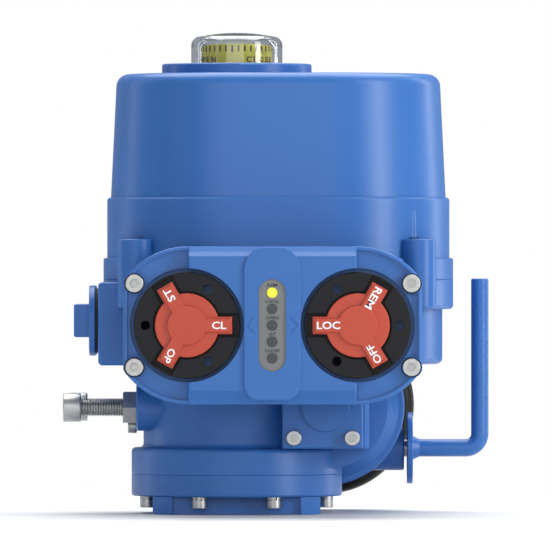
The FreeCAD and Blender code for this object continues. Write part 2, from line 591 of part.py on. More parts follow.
# ================================================================ output line
def worm_wheel():
    """Sector worm wheel with the two flats that meet the stop screws."""
    low, high = WORM_Z - WHEEL_HALF, WORM_Z + WHEEL_HALF
    pitch = WORM_M * WHEEL_TEETH / 2
    root = pitch - 1.25 * WORM_M
    start, end = SECTOR
    pie = [(0, 0, low)] + [(80 * math.cos(math.radians(a)), 80 * math.sin(math.radians(a)), low)
                           for a in (start, (start + end) / 2 - 30, (start + end) / 2 + 30, end)]
    sector = rod(root, (0, 0, low), (0, 0, high)).common(prism(pie, V(0, 0, high - low)))
    teeth = gear_ring(pitch, WORM_M, WHEEL_TEETH, WHEEL_HALF, WORM_R,
                      lambda a: start + 6 <= a <= end - 6)
    for tooth in teeth:
        tooth.translate(V(0, 0, WORM_Z))
    closed = stop_arm(STOP_TIP_X[0], -1, low, high)
    opened = stop_arm(STOP_TIP_X[1], 1, low, high)
    opened.rotate(V(), Z, -90)
    wheel = rod(BLANK_R, (0, 0, low), (0, 0, high)).fuse([sector, closed, opened] + teeth)
    return wheel.cut(rod(SEAT_R, (0, 0, low - 1), (0, 0, high + 1)))


def stop_arm(tip_x, side, low, high):
    """Lug on the blank whose flat faces a stop screw's tip."""
    face = tip_x + STOP_GAP
    y_in, y_out = side * (STOP_Y - 10), side * (STOP_Y + 5)
    arm = box((face, 5), (y_in, y_out), (low, high))
    return arm.common(rod(LUG_R, (0, 0, low), (0, 0, high)))


def output_hub():
    z0, z1 = HUB_Z
    hub = join(rod(HUB_R, (0, 0, z0), (0, 0, z1)),
               rod(SEAT_R, (0, 0, WORM_Z - WHEEL_HALF), (0, 0, WORM_Z + WHEEL_HALF)))
    socket = rod(DRIVE_R, (0, 0, z0 - 1), (0, 0, z0 + DRIVE_LENGTH))
    return hub.cut([socket, rod(SHAFT_R, (0, 0, z1 - 15), (0, 0, z1 + 1))])


def drive_bushing():
    z0 = HUB_Z[0]
    bush = ring(DRIVE_R, DRIVE_BORE_R, (0, 0, z0), (0, 0, z0 + DRIVE_LENGTH))
    key = box((0, DRIVE_BORE_R + KEY_H), (-KEY_W / 2, KEY_W / 2), (z0 - 1, z0 + DRIVE_LENGTH + 1))
    return bush.cut(key)


def output_bushes():
    spans = ((BASE_TOP + 1, CHAMBER_Z[0] - 1), (CHAMBER_Z[1], CHAMBER_Z[1] + PLATE_T))
    return Part.makeCompound([ring(BUSH_R, HUB_R + RUN, (0, 0, a), (0, 0, b)) for a, b in spans])


def gear_plate():
    """Inner floor that closes the gear chamber and carries the upper bush."""
    z0 = CHAMBER_Z[1]
    return ring(PLATE_R, BUSH_R, (0, 0, z0), (0, 0, z0 + PLATE_T))


def indicator_shaft():
    return rod(SHAFT_R, (0, 0, HUB_Z[1] - 15), (0, 0, SCALE_Z[1] - 4))


def switch_cams():
    """Four cams on the indicator shaft, each with a raised lobe a quarter turn on."""
    cams = []
    for k in range(CAMS):
        z = CAM_Z + k * (CAM_T + 1)
        disc = ring(CAM_R - 2, SHAFT_R, (0, 0, z), (0, 0, z + CAM_T))
        lobe = ring(CAM_R, SHAFT_R, (0, 0, z), (0, 0, z + CAM_T)).common(
            box((0, CAM_R), (-CAM_R * 0.5, CAM_R * 0.5), (z, z + CAM_T)))
        lobe.rotate(V(), Z, 180 + 90 * (k % 2))
        cams.append(disc.fuse(lobe).removeSplitter())
    return Part.makeCompound(cams)


def position_drum():
    """Scale drum under the dome, a cup with its opening down."""
    z0, z1 = SCALE_Z
    cup = rod(DRUM_SCALE_R, (0, 0, z0), (0, 0, z1)).cut(rod(DRUM_SCALE_R - 1.5, (0, 0, z0 - 1), (0, 0, z1 - 1.6)))
    boss = rod(SHAFT_R + 3, (0, 0, z0 + 2), (0, 0, z1 - 1))
    return join(cup, boss).cut(rod(SHAFT_R, (0, 0, z0), (0, 0, z1 - 4)))


def limit_switches():
    switches = []
    for k in range(CAMS):
        z = CAM_Z + k * (CAM_T + 1)
        body = box((-12, 12), (CAM_R + 5, CAM_R + 16), (z, z + CAM_T))
        roller = rod(2.4, (0, CAM_R + 3, z + 0.8), (0, CAM_R + 3, z + CAM_T - 0.8))
        arm = box((-8, 1), (CAM_R + 2.6, CAM_R + 5.5), (z + 1.6, z + CAM_T - 1.6))
        switch = join(body, arm, roller)
        switch.rotate(V(), Z, 90)
        switches.append(switch)
    return Part.makeCompound(switches)


def switch_bracket():
    y0 = CAM_R + 16
    top = CAM_Z + CAMS * (CAM_T + 1)
    plate = box((-14, 14), (y0, y0 + 2), (FLOOR_Z, top))
    foot = box((-14, 14), (y0, y0 + 7), (FLOOR_Z, FLOOR_Z + 2))
    bracket = join(plate, foot)
    bracket.rotate(V(), Z, 90)
    return bracket


# ================================================================ electrics
def control_board():
    board = box((-24, 60), (-52, -52 + BOARD_T), (FLOOR_Z + 8, 176))
    parts = [box((x, x + w), (-52 + BOARD_T, -52 + BOARD_T + d), (z, z + h)) for x, w, d, z, h in
             ((-18, 16, 12, 104, 20), (4, 12, 10, 104, 24), (22, 12, 10, 104, 24), (40, 14, 14, 104, 16),
              (-18, 22, 6, 134, 10), (12, 30, 4, 140, 22), (-16, 12, 9, 152, 14))]
    return join(board, *parts)


def terminal_block():
    block = box((-56, -40), (-24, 24), (FLOOR_Z, FLOOR_Z + 18))
    for k in range(8):
        y = -21 + 6.0 * k
        block = block.cut(rod(1.8, (-47, y, FLOOR_Z + 10), (-47, y, FLOOR_Z + 20)))
        block = block.cut(box((-57, -53), (y - 1.8, y + 1.8), (FLOOR_Z + 4, FLOOR_Z + 9)))
    return block


def space_heater():
    core = box((-30, -6), (46, 56), (FLOOR_Z, FLOOR_Z + 36))
    for k in range(5):
        x = -27 + 5.0 * k
        core = core.cut(box((x, x + 2), (44, 49), (FLOOR_Z + 4, FLOOR_Z + 40)))
    return core


# ================================================================ top cover and dome
def cover_outside():
    taper = soften(tapered_stadium(TAPER_R[0], TAPER_R[1], BAND_TOP, ROOF_Z), ROOF_FILLET, level(ROOF_Z))
    band = soften(stadium(BAND_R, SPLIT_Z, BAND_TOP), BAND_R - TAPER_R[0] - 0.2, level(BAND_TOP))
    rim = soften(stadium(RIM_R, SPLIT_Z, COVER_RIM_TOP), EDGE, level(COVER_RIM_TOP))
    tower = soften(rod(TOWER_R, (0, 0, ROOF_Z - 2), (0, 0, TOWER_TOP)), EDGE, level(TOWER_TOP))
    solids = [taper, band, soften(rim, SEAM, level(SPLIT_Z)), tower]
    for x, s in lug_places():
        inward = 1 if x < WORM_X else -1
        solids.append(lug(x, s, SPLIT_Z, LUG_TOP))
        edge = x + inward * LUG_HALF
        wing = box((edge, edge + inward * WING_X), (s * (LUG_SCREW_Y + 4), 0), (SPLIT_Z, WING_TOP))
        solids.append(soften(wing, 3 * EDGE, lambda e: level(WING_TOP)(e) or e.BoundBox.ZLength > 15))
    return join(*solids)


def dome_stack():
    """Heights of the gasket, dome flange and clamp ring under the tower."""
    seat = ROOF_Z - COVER_WALL
    return seat, seat - GASKET_T, seat - GASKET_T - DOME_FLANGE_T


def top_cover():
    seat = dome_stack()[0]
    lower = stadium(BAND_R - COVER_WALL, SPLIT_Z - 1, BAND_TOP - 8)
    upper = tapered_stadium(TAPER_R[0] - COVER_WALL, TAPER_R[1] - COVER_WALL, BAND_TOP - 8.5,
                            ROOF_Z - COVER_WALL)
    cuts = [lower, upper, rod(DOME_R + 0.3, (0, 0, seat - 1), (0, 0, TOWER_TOP + 1))]
    for x, s in lug_places():
        y = s * LUG_SCREW_Y
        cuts.append(hole(M6, (x, y, SPLIT_Z - 1), Z, 40))
        cuts.append(rod(M6[1] + 0.6, (x, y, LUG_TOP - M6[2] - 1), (x, y, LUG_TOP + 1)))
    for x, y in around(4, CLAMP_SCREW_PCD, 45):
        cuts.append(hole(M4, (x, y, seat - 1), Z, 8, tapped=True))
    return cover_outside().cut(cuts)


def top_cover_ring():
    outer = RIM_R - 2.5
    return stadium(outer, SPLIT_Z - RING_SECTION, SPLIT_Z).cut(
        stadium(outer - RING_SECTION, SPLIT_Z - RING_SECTION, SPLIT_Z))


def top_cover_screws():
    seat = LUG_TOP - M6[2] - 1
    return Part.makeCompound([socket_screw(M6, (x, s * LUG_SCREW_Y, seat), -Z, seat - SPLIT_Z + 12)
                              for x, s in lug_places()])


def indicator_dome():
    """Clear cup with a rounded rim and a slightly crowned top, clamped by its flange."""
    flange_top = dome_stack()[1]
    bottom = flange_top - DOME_FLANGE_T
    corner = DOME_TOP - DOME_SHOULDER - 2.0

    def outline(radius, shoulder, top, start):
        mid = corner * (1 - math.sqrt(0.5))
        rise = top - corner - shoulder
        points = [V(radius, 0, start), V(radius, 0, shoulder)]
        inner = radius - corner
        edge_top = shoulder + corner
        arc = Part.Arc(points[1], V(radius - mid, 0, edge_top - mid), V(inner, 0, edge_top)).toShape()
        sphere = (inner ** 2 + rise ** 2) / (2 * rise)
        half = V(inner / 2, 0, edge_top + rise - sphere + math.sqrt(sphere ** 2 - inner ** 2 / 4))
        crown = Part.Arc(V(inner, 0, edge_top), half, V(0, 0, edge_top + rise))
        lines = [Part.makeLine(V(0, 0, start), points[0]), Part.makeLine(*points), arc, crown.toShape(),
                 Part.makeLine(V(0, 0, edge_top + rise), V(0, 0, start))]
        return Part.Face(Part.Wire(lines)).revolve(V(), Z, 360)

    cup = outline(DOME_R, DOME_SHOULDER, DOME_TOP, bottom)
    room = outline(DOME_R - DOME_WALL, DOME_SHOULDER - 1.2, DOME_TOP - DOME_WALL, bottom - 1)
    flange = rod(DOME_FLANGE_R, (0, 0, bottom), (0, 0, flange_top))
    return cup.fuse(flange).cut(room)


def dome_gasket():
    seat, flange_top = dome_stack()[:2]
    return ring(DOME_FLANGE_R, DOME_R + 1, (0, 0, flange_top), (0, 0, seat))


def dome_clamp_ring():
    seat, clamp_top = dome_stack()[::2]
    plate = ring(CLAMP_R, DOME_R - DOME_WALL, (0, 0, clamp_top - CLAMP_T), (0, 0, clamp_top))
    posts = ring(CLAMP_R, DOME_FLANGE_R + 0.3, (0, 0, clamp_top), (0, 0, seat))
    clamp = join(plate, posts)
    for x, y in around(4, CLAMP_SCREW_PCD, 45):
        clamp = clamp.cut(rod(M4[0] + 0.2, (x, y, 0), (x, y, seat + 1)))
    return clamp


def dome_clamp_screws():
    _, _, clamp_top = dome_stack()
    z = clamp_top - CLAMP_T
    return Part.makeCompound([socket_screw(M4, (x, y, z), Z, CLAMP_T + DOME_FLANGE_T + GASKET_T + 4)
                              for x, y in around(4, CLAMP_SCREW_PCD, 45)])


# ================================================================ control unit
def box_outline(grow, y0, y1, rounding=0.0):
    """Control unit outline: a stadium about the knobs, trimmed at both ends; `rounding` is for the y0 face."""
    radius = BOX_R + grow
    prism_y = stadium_y(radius, KNOB_X[0] + 0.8, KNOB_X[1] - 0.4, y0, y1)
    clip = box((BOX_CLIP[0] - grow, BOX_CLIP[1] + grow), (y0, y1), (0, 200))
    lugs = [rod(BOX_LUG_R + grow, (x, y0, z), (x, y1, z)) for x in BOX_SCREW_X for z in BOX_SCREW_Z]
    pieces = [prism_y.common(clip)] + lugs
    if rounding:
        pieces = [soften(piece, rounding, upright(y0)) for piece in pieces]
    return join(*pieces)


def stadium_y(radius, x0, x1, y0, y1):
    """Stadium lying in the front plane, extruded along Y."""
    flat = Part.Face(stadium_wire(radius, 0, x0, x1)).extrude(V(0, 0, abs(y1 - y0)))
    flat.rotate(V(), X, 90)
    flat.translate(V(0, max(y0, y1), KNOB_Z))
    return flat


def control_box_body():
    """Rear shell of the control unit with its neck to the electrical compartment."""
    shell = box_outline(0, BOX_BACK, BOX_FRONT, 2 * EDGE)
    room = box_outline(-BOX_WALL, BOX_BACK - BOX_WALL, BOX_FRONT - 1)
    neck = box(NECK_X, (BOX_BACK, -WALL_R), NECK_Z)
    duct = box((NECK_X[0] + 18, NECK_X[1] - 18), (BOX_BACK - BOX_WALL - 1, -WALL_R + 1),
               (NECK_Z[0] + 6, NECK_Z[1] - 6))
    posts = [rod(BOX_LUG_R, (x, BOX_BACK - 2, z), (x, BOX_FRONT, z)) for x in BOX_SCREW_X for z in BOX_SCREW_Z]
    body = join(shell.cut(room), neck, *posts).cut(duct)
    for x in BOX_SCREW_X:
        for z in BOX_SCREW_Z:
            body = body.cut(hole(M6, (x, BOX_FRONT - 1, z), Y, 19, tapped=True))
    for x, z in neck_screw_places():
        body = body.cut(hole(M6, (x, BOX_BACK - 20, z), Y, 40))
    return body


def control_gasket():
    outline = box_outline(-0.8, BOX_FRONT, BOX_FRONT - 1.2)
    gasket = outline.cut(box_outline(-BOX_WALL + 0.4, BOX_FRONT + 1, BOX_FRONT - 2))
    for x in BOX_SCREW_X:
        for z in BOX_SCREW_Z:
            gasket = gasket.cut(rod(M6[0] + SCREW_GAP, (x, 0, z), (x, -200, z)))
    return gasket


COVER_BACK = BOX_FRONT - 1.2


def panel_outline(y0, y1):
    """Raised middle panel: a barrel shape, rounder at the top than at the bottom."""
    half, low, high = PANEL_HALF, SLOPE_Z[0] + 0.2, BOX_R + KNOB_Z - 0.5
    top_flat, low_flat = 6.8, 9.2
    x = PANEL_X

    def at(dx, z):
        return V(x + dx, y0, z)

    shoulder, skirt = high - 15.0, low + 8.5
    edges = [Part.Arc(at(-half, shoulder), at(-half + 2.2, high - 5.4), at(-top_flat, high)).toShape(),
             Part.makeLine(at(-top_flat, high), at(top_flat, high)),
             Part.Arc(at(top_flat, high), at(half - 2.2, high - 5.4), at(half, shoulder)).toShape(),
             Part.makeLine(at(half, shoulder), at(half, skirt)),
             Part.Arc(at(half, skirt), at(half - 2.6, low + 2.4), at(low_flat, low)).toShape(),
             Part.makeLine(at(low_flat, low), at(-low_flat, low)),
             Part.Arc(at(-low_flat, low), at(-half + 2.6, low + 2.4), at(-half, skirt)).toShape(),
             Part.makeLine(at(-half, skirt), at(-half, shoulder))]
    return Part.Face(Part.Wire(edges)).extrude(V(0, y1 - y0, 0))


def control_cover_outside():
    rim = box_outline(0, RIM_Y, COVER_BACK, EDGE)
    crescent = box_outline(-BOX_RIM_W, RIM_Y - 1, CRESCENT_Y)
    middle = box(STEP_X, (RIM_Y - 1, CRESCENT_Y), (0, 200))
    lugs = [rod(BOX_LUG_R, (x, RIM_Y - 1, z), (x, COVER_BACK, z)) for x in BOX_SCREW_X for z in BOX_SCREW_Z]
    rim = rim.cut(crescent.cut([middle] + lugs))
    low, high = KNOB_Z - BOX_R, KNOB_Z + BOX_R
    outline = [(COVER_BACK, low), (RIM_Y, low), (FACE_Y + SLOPE_DROP, SLOPE_Z[0]), (FACE_Y, FACE_Z[0]),
               (FACE_Y, FACE_Z[1]), (FACE_Y + SLOPE_DROP * 0.6, SLOPE_Z[1]), (RIM_Y, high), (COVER_BACK, high)]
    block = prism([(STEP_X[0], y, z) for y, z in outline], V(STEP_X[1] - STEP_X[0], 0, 0))
    block = soften(block, EDGE, lambda edge: edge.BoundBox.XLength < 0.01 and edge.BoundBox.YMax < RIM_Y + 0.01)
    panel = soften(panel_outline(PANEL_Y, FACE_Y + SLOPE_DROP + 2), EDGE, endwise)
    panel = soften(panel, EDGE / 2, upright(PANEL_Y))
    return join(rim, block, panel)


def window_shape(grow, y0, y1):
    """Upright stadium of the indicator window."""
    radius = WINDOW_R + grow
    centre = box((PANEL_X - radius, PANEL_X + radius), (y0, y1), (KNOB_Z - WINDOW_HALF, KNOB_Z + WINDOW_HALF))
    ends = [rod(radius, (PANEL_X, y0, KNOB_Z + s * WINDOW_HALF), (PANEL_X, y1, KNOB_Z + s * WINDOW_HALF))
            for s in (-1, 1)]
    return join(centre, *ends)


def chevron(side):
    """Shallow arrow groove that points at a knob."""
    tip = PANEL_X + side * (PANEL_HALF - 1.0)
    back = tip - side * 4.6
    width = 0.55
    outline = [(tip, 0), (back, 4.8), (back - side * width, 4.4), (tip - side * 2 * width, 0),
               (back - side * width, -4.4), (back, -4.8)]
    return prism([(x, PANEL_Y - 1, KNOB_Z + z) for x, z in outline], V(0, 1.4, 0))


def control_box_cover():
    body = control_cover_outside()
    room = box_outline(-BOX_WALL, COVER_BACK + 1, CRESCENT_Y + 3.5)
    posts = [rod(BOX_LUG_R, (x, COVER_BACK + 2, z), (x, CRESCENT_Y, z))
             for x in BOX_SCREW_X for z in BOX_SCREW_Z]
    pockets = [rod(RECESS_R + 2.5, (x, 0, KNOB_Z), (x, -200, KNOB_Z)) for x in KNOB_X]
    windows = window_shape(2.5, 0, -200)
    cuts = [room.cut(posts + pockets + [windows])]
    for x in KNOB_X:
        cuts.append(rod(RECESS_R, (x, RECESS_Y, KNOB_Z), (x, -200, KNOB_Z)))
        cuts.append(rod(SPINDLE_R + RUN, (x, 0, KNOB_Z), (x, -200, KNOB_Z)))
    for x, angle in ((KNOB_X[0], 180), (KNOB_X[1], 240)):
        px = x + KNOB_HOLE_AT * math.cos(math.radians(angle))
        pz = KNOB_Z + KNOB_HOLE_AT * math.sin(math.radians(angle))
        cuts.append(rod(KNOB_HOLE_R, (px, 0, pz), (px, -200, pz)))
    for x in BOX_SCREW_X:
        for z in BOX_SCREW_Z:
            cuts.append(rod(M6[0] + SCREW_GAP, (x, 0, z), (x, -200, z)))
            cuts.append(rod(M6[1] + 0.8, (x, RIM_Y + M6[2] - 1.5, z), (x, -200, z)))
    cuts.append(window_shape(0, PANEL_Y + WINDOW_T, PANEL_Y - 1))
    for k in range(LEDS):
        z = KNOB_Z + (k - 2) * LED_PITCH
        cuts.append(rod(LED_R + 0.1, (PANEL_X, 0, z), (PANEL_X, -200, z)))
    cuts += [chevron(-1), chevron(1)]
    return body.cut(cuts)


def control_screws():
    """M6 screws of the control unit: four hold its cover, four hold its body to the gear housing."""
    seat = RIM_Y + M6[2] - 1.5
    screws = [socket_screw(M6, (x, seat, z), Y, COVER_BACK - seat + 12)
              for x in BOX_SCREW_X for z in BOX_SCREW_Z]
    inner_seat = BOX_BACK - BOX_WALL
    screws += [socket_screw(M6, (x, inner_seat, z), Y, WALL_T - WALL_R - 1 - inner_seat)
               for x, z in neck_screw_places()]
    return Part.makeCompound(screws)


def indicator_window():
    plate = window_shape(-0.05, PANEL_Y + WINDOW_T, PANEL_Y + 0.9)
    for k in range(LEDS):
        z = KNOB_Z + (k - 2) * LED_PITCH
        plate = plate.cut(rod(LED_R + 0.1, (PANEL_X, 0, z), (PANEL_X, -200, z)))
    return plate


def lights(indices):
    caps = []
    for k in indices:
        z = KNOB_Z + (k - 2) * LED_PITCH
        caps.append(rod(LED_R, (PANEL_X, COVER_BACK + 1.5, z), (PANEL_X, PANEL_Y + 0.5, z)))
    return Part.makeCompound(caps)


def indicator_board():
    front = COVER_BACK + 1.5
    return box((PANEL_X - 10, PANEL_X + 10), (front, front + BOARD_T), (KNOB_Z - 27, KNOB_Z + 27))


def knob_disc(x, side):
    """Black selector disc with three channels, three sight holes and its spindle."""
    back = RECESS_Y - 1.0
    front = back - KNOB_T
    disc = soften(rod(KNOB_R, (x, back, KNOB_Z), (x, front, KNOB_Z)), EDGE / 2, upright(front))
    spindle = rod(SPINDLE_R, (x, back, KNOB_Z), (x, COVER_BACK + 6, KNOB_Z))
    cuts = [rod(HUB_KNOB_R + 1.2, (x, front + CHANNEL_T, KNOB_Z), (x, front - 1, KNOB_Z))]
    for angle in ARM_ANGLES[side]:
        channel = box((0, CHANNEL_R), (front + CHANNEL_T, front - 1), (-CHANNEL_W / 2, CHANNEL_W / 2))
        sight = rod(KNOB_HOLE_R, (KNOB_HOLE_AT, back + 1, 0), (KNOB_HOLE_AT, front - 1, 0))
        channel.rotate(V(), Y, -angle)
        sight.rotate(V(), Y, -(angle + 60))
        for cut in (channel, sight):
            cut.translate(V(x, 0, KNOB_Z))
            cuts.append(cut)
    return join(disc, spindle).cut(cuts)


def knob_handle(x, side):
    """Red hub with three arms and a raised three-lobed grip."""
    floor = RECESS_Y - 1.0 - KNOB_T + CHANNEL_T
    front = floor - CHANNEL_T - 1.5
    grip_front = front - GRIP_T
    arms, grips = [], []
    for angle in ARM_ANGLES[side]:
        arm = box((0, ARM_R), (floor, front), (-ARM_W / 2, ARM_W / 2))
        grip = box((0, ARM_R - 1.2), (front, grip_front), (-ARM_W / 2 + 1.0, ARM_W / 2 - 1.0))
        for piece, group in ((arm, arms), (grip, grips)):
            piece.rotate(V(), Y, -angle)
            piece.translate(V(x, 0, KNOB_Z))
            group.append(piece)
    hub = soften(join(rod(HUB_KNOB_R, (x, floor, KNOB_Z), (x, front, KNOB_Z)), *arms), EDGE / 2, upright(front))
    grip = join(rod(GRIP_R, (x, front, KNOB_Z), (x, grip_front, KNOB_Z)), *grips)
    return join(hub, soften(grip, EDGE / 2, upright(grip_front)))


# ================================================================ plugs, stops, earth
def cable_plugs():
    head_x, flange_x, neck_x, _, end_x = PLUG_X
    plugs = []
    for s in (-1, 1):
        y = s * PLUG_Y
        half = PLUG_HEAD / 2
        head = box((head_x, flange_x), (y - half, y + half), (PLUG_Z - half, PLUG_Z + half))
        head = soften(head, EDGE, lambda edge: edge.BoundBox.XMin < flange_x - 1)
        flange = soften(rod(PLUG_FLANGE_R, (flange_x, y, PLUG_Z), (neck_x, y, PLUG_Z)), EDGE / 2, circles)
        thread = rod(PLUG_THREAD_R - 0.02, (neck_x, y, PLUG_Z), (end_x, y, PLUG_Z))
        plugs.append(join(head, flange, thread))
    return Part.makeCompound(plugs)


def plug_seals():
    _, _, neck_x, face_x, _ = PLUG_X
    return Part.makeCompound([ring(PLUG_FLANGE_R - 1.6, PLUG_THREAD_R, (neck_x, s * PLUG_Y, PLUG_Z),
                                   (face_x, s * PLUG_Y, PLUG_Z)) for s in (-1, 1)])


def stop_screw(index):
    y = (-1, 1)[index] * STOP_Y
    seat = STOP_HEAD_X[index] + M10[2]
    return socket_screw(M10, (seat, y, STOP_Z), X, STOP_TIP_X[index] - seat)


def stop_nuts():
    nuts = []
    for s in (-1, 1):
        nut = hexagon(NUT_AF, (BOSS_X - NUT_H, s * STOP_Y, STOP_Z), (BOSS_X, s * STOP_Y, STOP_Z), X)
        bore = rod(M10[0] + RUN, (BOSS_X - NUT_H - 1, s * STOP_Y, STOP_Z), (0, s * STOP_Y, STOP_Z))
        nuts.append(nut.cut(bore))
    return Part.makeCompound(nuts)


def earth_screw():
    return socket_screw(M5, (BOSS_X, 0, EARTH_Z), X, 8.0)


# ================================================================ lever, clutch and handwheel
def lever_shaft():
    return rod(SHAFT_R, (WORM_X - 6, LEVER_Y, LEVER_Z), (LEVER_PLATE_X[0], LEVER_Y, LEVER_Z))


def declutch_lever():
    """Round plate with the bent rod that is welded to it."""
    x0, x1 = LEVER_PLATE_X
    y, z = LEVER_Y, LEVER_Z
    plate = rod(LEVER_PLATE_R, (x0, y, z), (x1, y, z))
    plate = plate.makeFillet(0.6, [e for e in plate.Edges if isinstance(e.Curve, Part.Circle)])
    corner = V(ROD_X, y, z)
    start, low = V(x1 - 1, y, z), corner - X * ROD_BEND
    high, top = corner + Z * ROD_BEND, V(ROD_X, y, ROD_TOP)
    mid = corner + (Z - X) * (ROD_BEND * (1 - math.sqrt(0.5)))
    path = Part.Wire([Part.makeLine(start, low), Part.Arc(low, mid, high).toShape(), Part.makeLine(high, top)])
    bar = path.makePipeShell([Part.Wire(Part.makeCircle(ROD_R, start, X))], True, False)
    bar = bar.makeFillet(1.0, [e for e in bar.Edges if abs(e.BoundBox.ZMin - ROD_TOP) < 0.01])
    weld = cone(WELD_R, ROD_R, (x1, y, z), (x1 + WELD_L, y, z))
    return plate.fuse([bar, weld])


def clutch_fork():
    """Arm on the lever shaft whose pad sits in the sleeve's groove."""
    mid = LEVER_Y + 1.5
    hub = ring(SHAFT_R + 3.5, SHAFT_R, (WORM_X - 5, LEVER_Y, LEVER_Z), (WORM_X + 5, LEVER_Y, LEVER_Z))
    tip_z = WORM_Z - SLEEVE_R + GROOVE_D - 0.6
    pad = box((WORM_X - 4, WORM_X + 4), (mid - FORK_T / 2, mid + FORK_T / 2), (LEVER_Z + SHAFT_R + 1, tip_z))
    return join(hub, pad)


def lever_spring():
    """Torsion spring that brings the declutch lever back."""
    helix = Part.makeHelix(1.6, 8.0, SHAFT_R + 1.6)
    wire = Part.Wire(helix.Edges)
    section = Part.Wire(Part.makeCircle(0.6, V(SHAFT_R + 1.6, 0, 0), Y))
    coil = wire.makePipeShell([section], True, True)
    coil.rotate(V(), Y, 90)
    coil.translate(V(WORM_X + 8, LEVER_Y, LEVER_Z))
    return coil


COVER_FRONT_Y = DRUM_Y[1]
COVER_BACK_Y = DRUM_Y[1] + DRUM_COVER_T


def drum_cover():
    """Rear cover of the gear drum with the handwheel shaft's bush boss."""
    plate = rod(DRUM_R, (WORM_X, COVER_FRONT_Y, WORM_Z), (WORM_X, COVER_BACK_Y, WORM_Z))
    plate = soften(soften(plate, EDGE, upright(COVER_BACK_Y)), SEAM, upright(COVER_FRONT_Y))
    boss = rod(WHEEL_SHAFT_R + 6, (WORM_X, COVER_BACK_Y, WORM_Z), (WORM_X, COVER_BACK_Y + 10, WORM_Z))
    cover = join(plate, boss).cut(
        rod(WHEEL_SHAFT_R + RUN, (WORM_X, 0, WORM_Z), (WORM_X, 100, WORM_Z)))
    for x, z in drum_screw_places():
        cover = cover.cut(hole(M4, (x, COVER_FRONT_Y - 1, z), Y, 20))
    return cover


def drum_cover_screws():
    return Part.makeCompound([socket_screw(M4, (x, COVER_BACK_Y, z), -Y, DRUM_COVER_T + 9)
                              for x, z in drum_screw_places()])


def handwheel_shaft():
    """Hollow-nosed shaft with dogs that the sleeve slides into."""
    y0 = SLEEVE_Y[1] + SLEEVE_TRAVEL + MOVE_GAP
    collar = rod(SLEEVE_R, (WORM_X, y0, WORM_Z), (WORM_X, COVER_FRONT_Y - 0.4, WORM_Z))
    shaft = rod(WHEEL_SHAFT_R, (WORM_X, y0, WORM_Z), (WORM_X, HANDWHEEL_Y[1] + 3, WORM_Z))
    stud = rod(M6[0] + 1, (WORM_X, HANDWHEEL_Y[1] + 3, WORM_Z), (WORM_X, HANDWHEEL_Y[1] + 12, WORM_Z))
    return join(collar, shaft, stud)


def handwheel_nut():
    y0 = HANDWHEEL_Y[1] + 3
    nut = hexagon(13.0, (WORM_X, y0, WORM_Z), (WORM_X, y0 + 6.5, WORM_Z), Y)
    return nut.cut(rod(M6[0] + 1, (WORM_X, y0 - 1, WORM_Z), (WORM_X, y0 + 8, WORM_Z)))


def handwheel():
    """Dished handwheel with a round rim, six lightening holes and a stepped hub."""
    y0, y1 = HANDWHEEL_Y
    mid = y0 + RIM_SECTION
    rim = Part.makeTorus(HANDWHEEL_R - RIM_SECTION, RIM_SECTION, V(WORM_X, mid, WORM_Z), Y)
    web = rod(HANDWHEEL_R - RIM_SECTION, (WORM_X, mid - 2.5, WORM_Z), (WORM_X, mid + 2.5, WORM_Z))
    hub = cone(15.0, 13.0, (WORM_X, y0 + 1, WORM_Z), (WORM_X, y1 + 3, WORM_Z))
    wheel = join(rim, web, hub)
    cuts = [rod(WHEEL_SHAFT_R, (WORM_X, y0 - 5, WORM_Z), (WORM_X, y1 + 20, WORM_Z))]
    for k in range(6):
        angle = math.radians(60 * k)
        x, z = WORM_X + 27 * math.cos(angle), WORM_Z + 27 * math.sin(angle)
        cuts.append(rod(8.0, (x, y0 - 5, z), (x, y1 + 5, z)))
    return wheel.cut(cuts)


# ================================================================ all the pieces
PIECES = {
    "base_plate": base_plate, "base_ring": base_ring, "base_screws": base_screws,
    "gear_housing": gear_housing, "worm_end_cap": worm_end_cap, "worm_cap_screws": worm_cap_screws,
    "worm_bearings": worm_bearings, "worm_shaft": worm_shaft, "first_wheel": first_wheel,
    "clutch_sleeve": clutch_sleeve, "motor_body": motor_body, "motor_shaft": motor_shaft, "capacitor": capacitor,
    "worm_wheel": worm_wheel, "output_hub": output_hub, "drive_bushing": drive_bushing,
    "output_bushes": output_bushes, "gear_plate": gear_plate, "indicator_shaft": indicator_shaft,
    "switch_cams": switch_cams, "position_drum": position_drum, "limit_switches": limit_switches,
    "switch_bracket": switch_bracket, "control_board": control_board, "terminal_block": terminal_block,
    "space_heater": space_heater, "top_cover": top_cover, "top_cover_ring": top_cover_ring,
    "top_cover_screws": top_cover_screws, "indicator_dome": indicator_dome, "dome_gasket": dome_gasket,
    "dome_clamp_ring": dome_clamp_ring, "dome_clamp_screws": dome_clamp_screws,
    "control_box_body": control_box_body, "control_gasket": control_gasket,
    "control_box_cover": control_box_cover, "control_screws": control_screws,
    "indicator_window": indicator_window, "ready_light": lambda: lights([4]),
    "status_lights": lambda: lights([0, 1, 2, 3]), "indicator_board": indicator_board,
    "left_knob_disc": lambda: knob_disc(KNOB_X[0], "left"),
    "left_knob_handle": lambda: knob_handle(KNOB_X[0], "left"),
    "right_knob_disc": lambda: knob_disc(KNOB_X[1], "right"),
    "right_knob_handle": lambda: knob_handle(KNOB_X[1], "right"),
    "cable_plugs": cable_plugs, "plug_seals": plug_seals,
    "stop_screw_front": lambda: stop_screw(0), "stop_screw_back": lambda: stop_screw(1), "stop_nuts": stop_nuts,
    "earth_screw": earth_screw, "lever_shaft": lever_shaft, "declutch_lever": declutch_lever,
    "clutch_fork": clutch_fork, "lever_spring": lever_spring, "drum_cover": drum_cover,
    "drum_cover_screws": drum_cover_screws, "handwheel_shaft": handwheel_shaft, "handwheel_nut": handwheel_nut,
    "handwheel": handwheel,
}


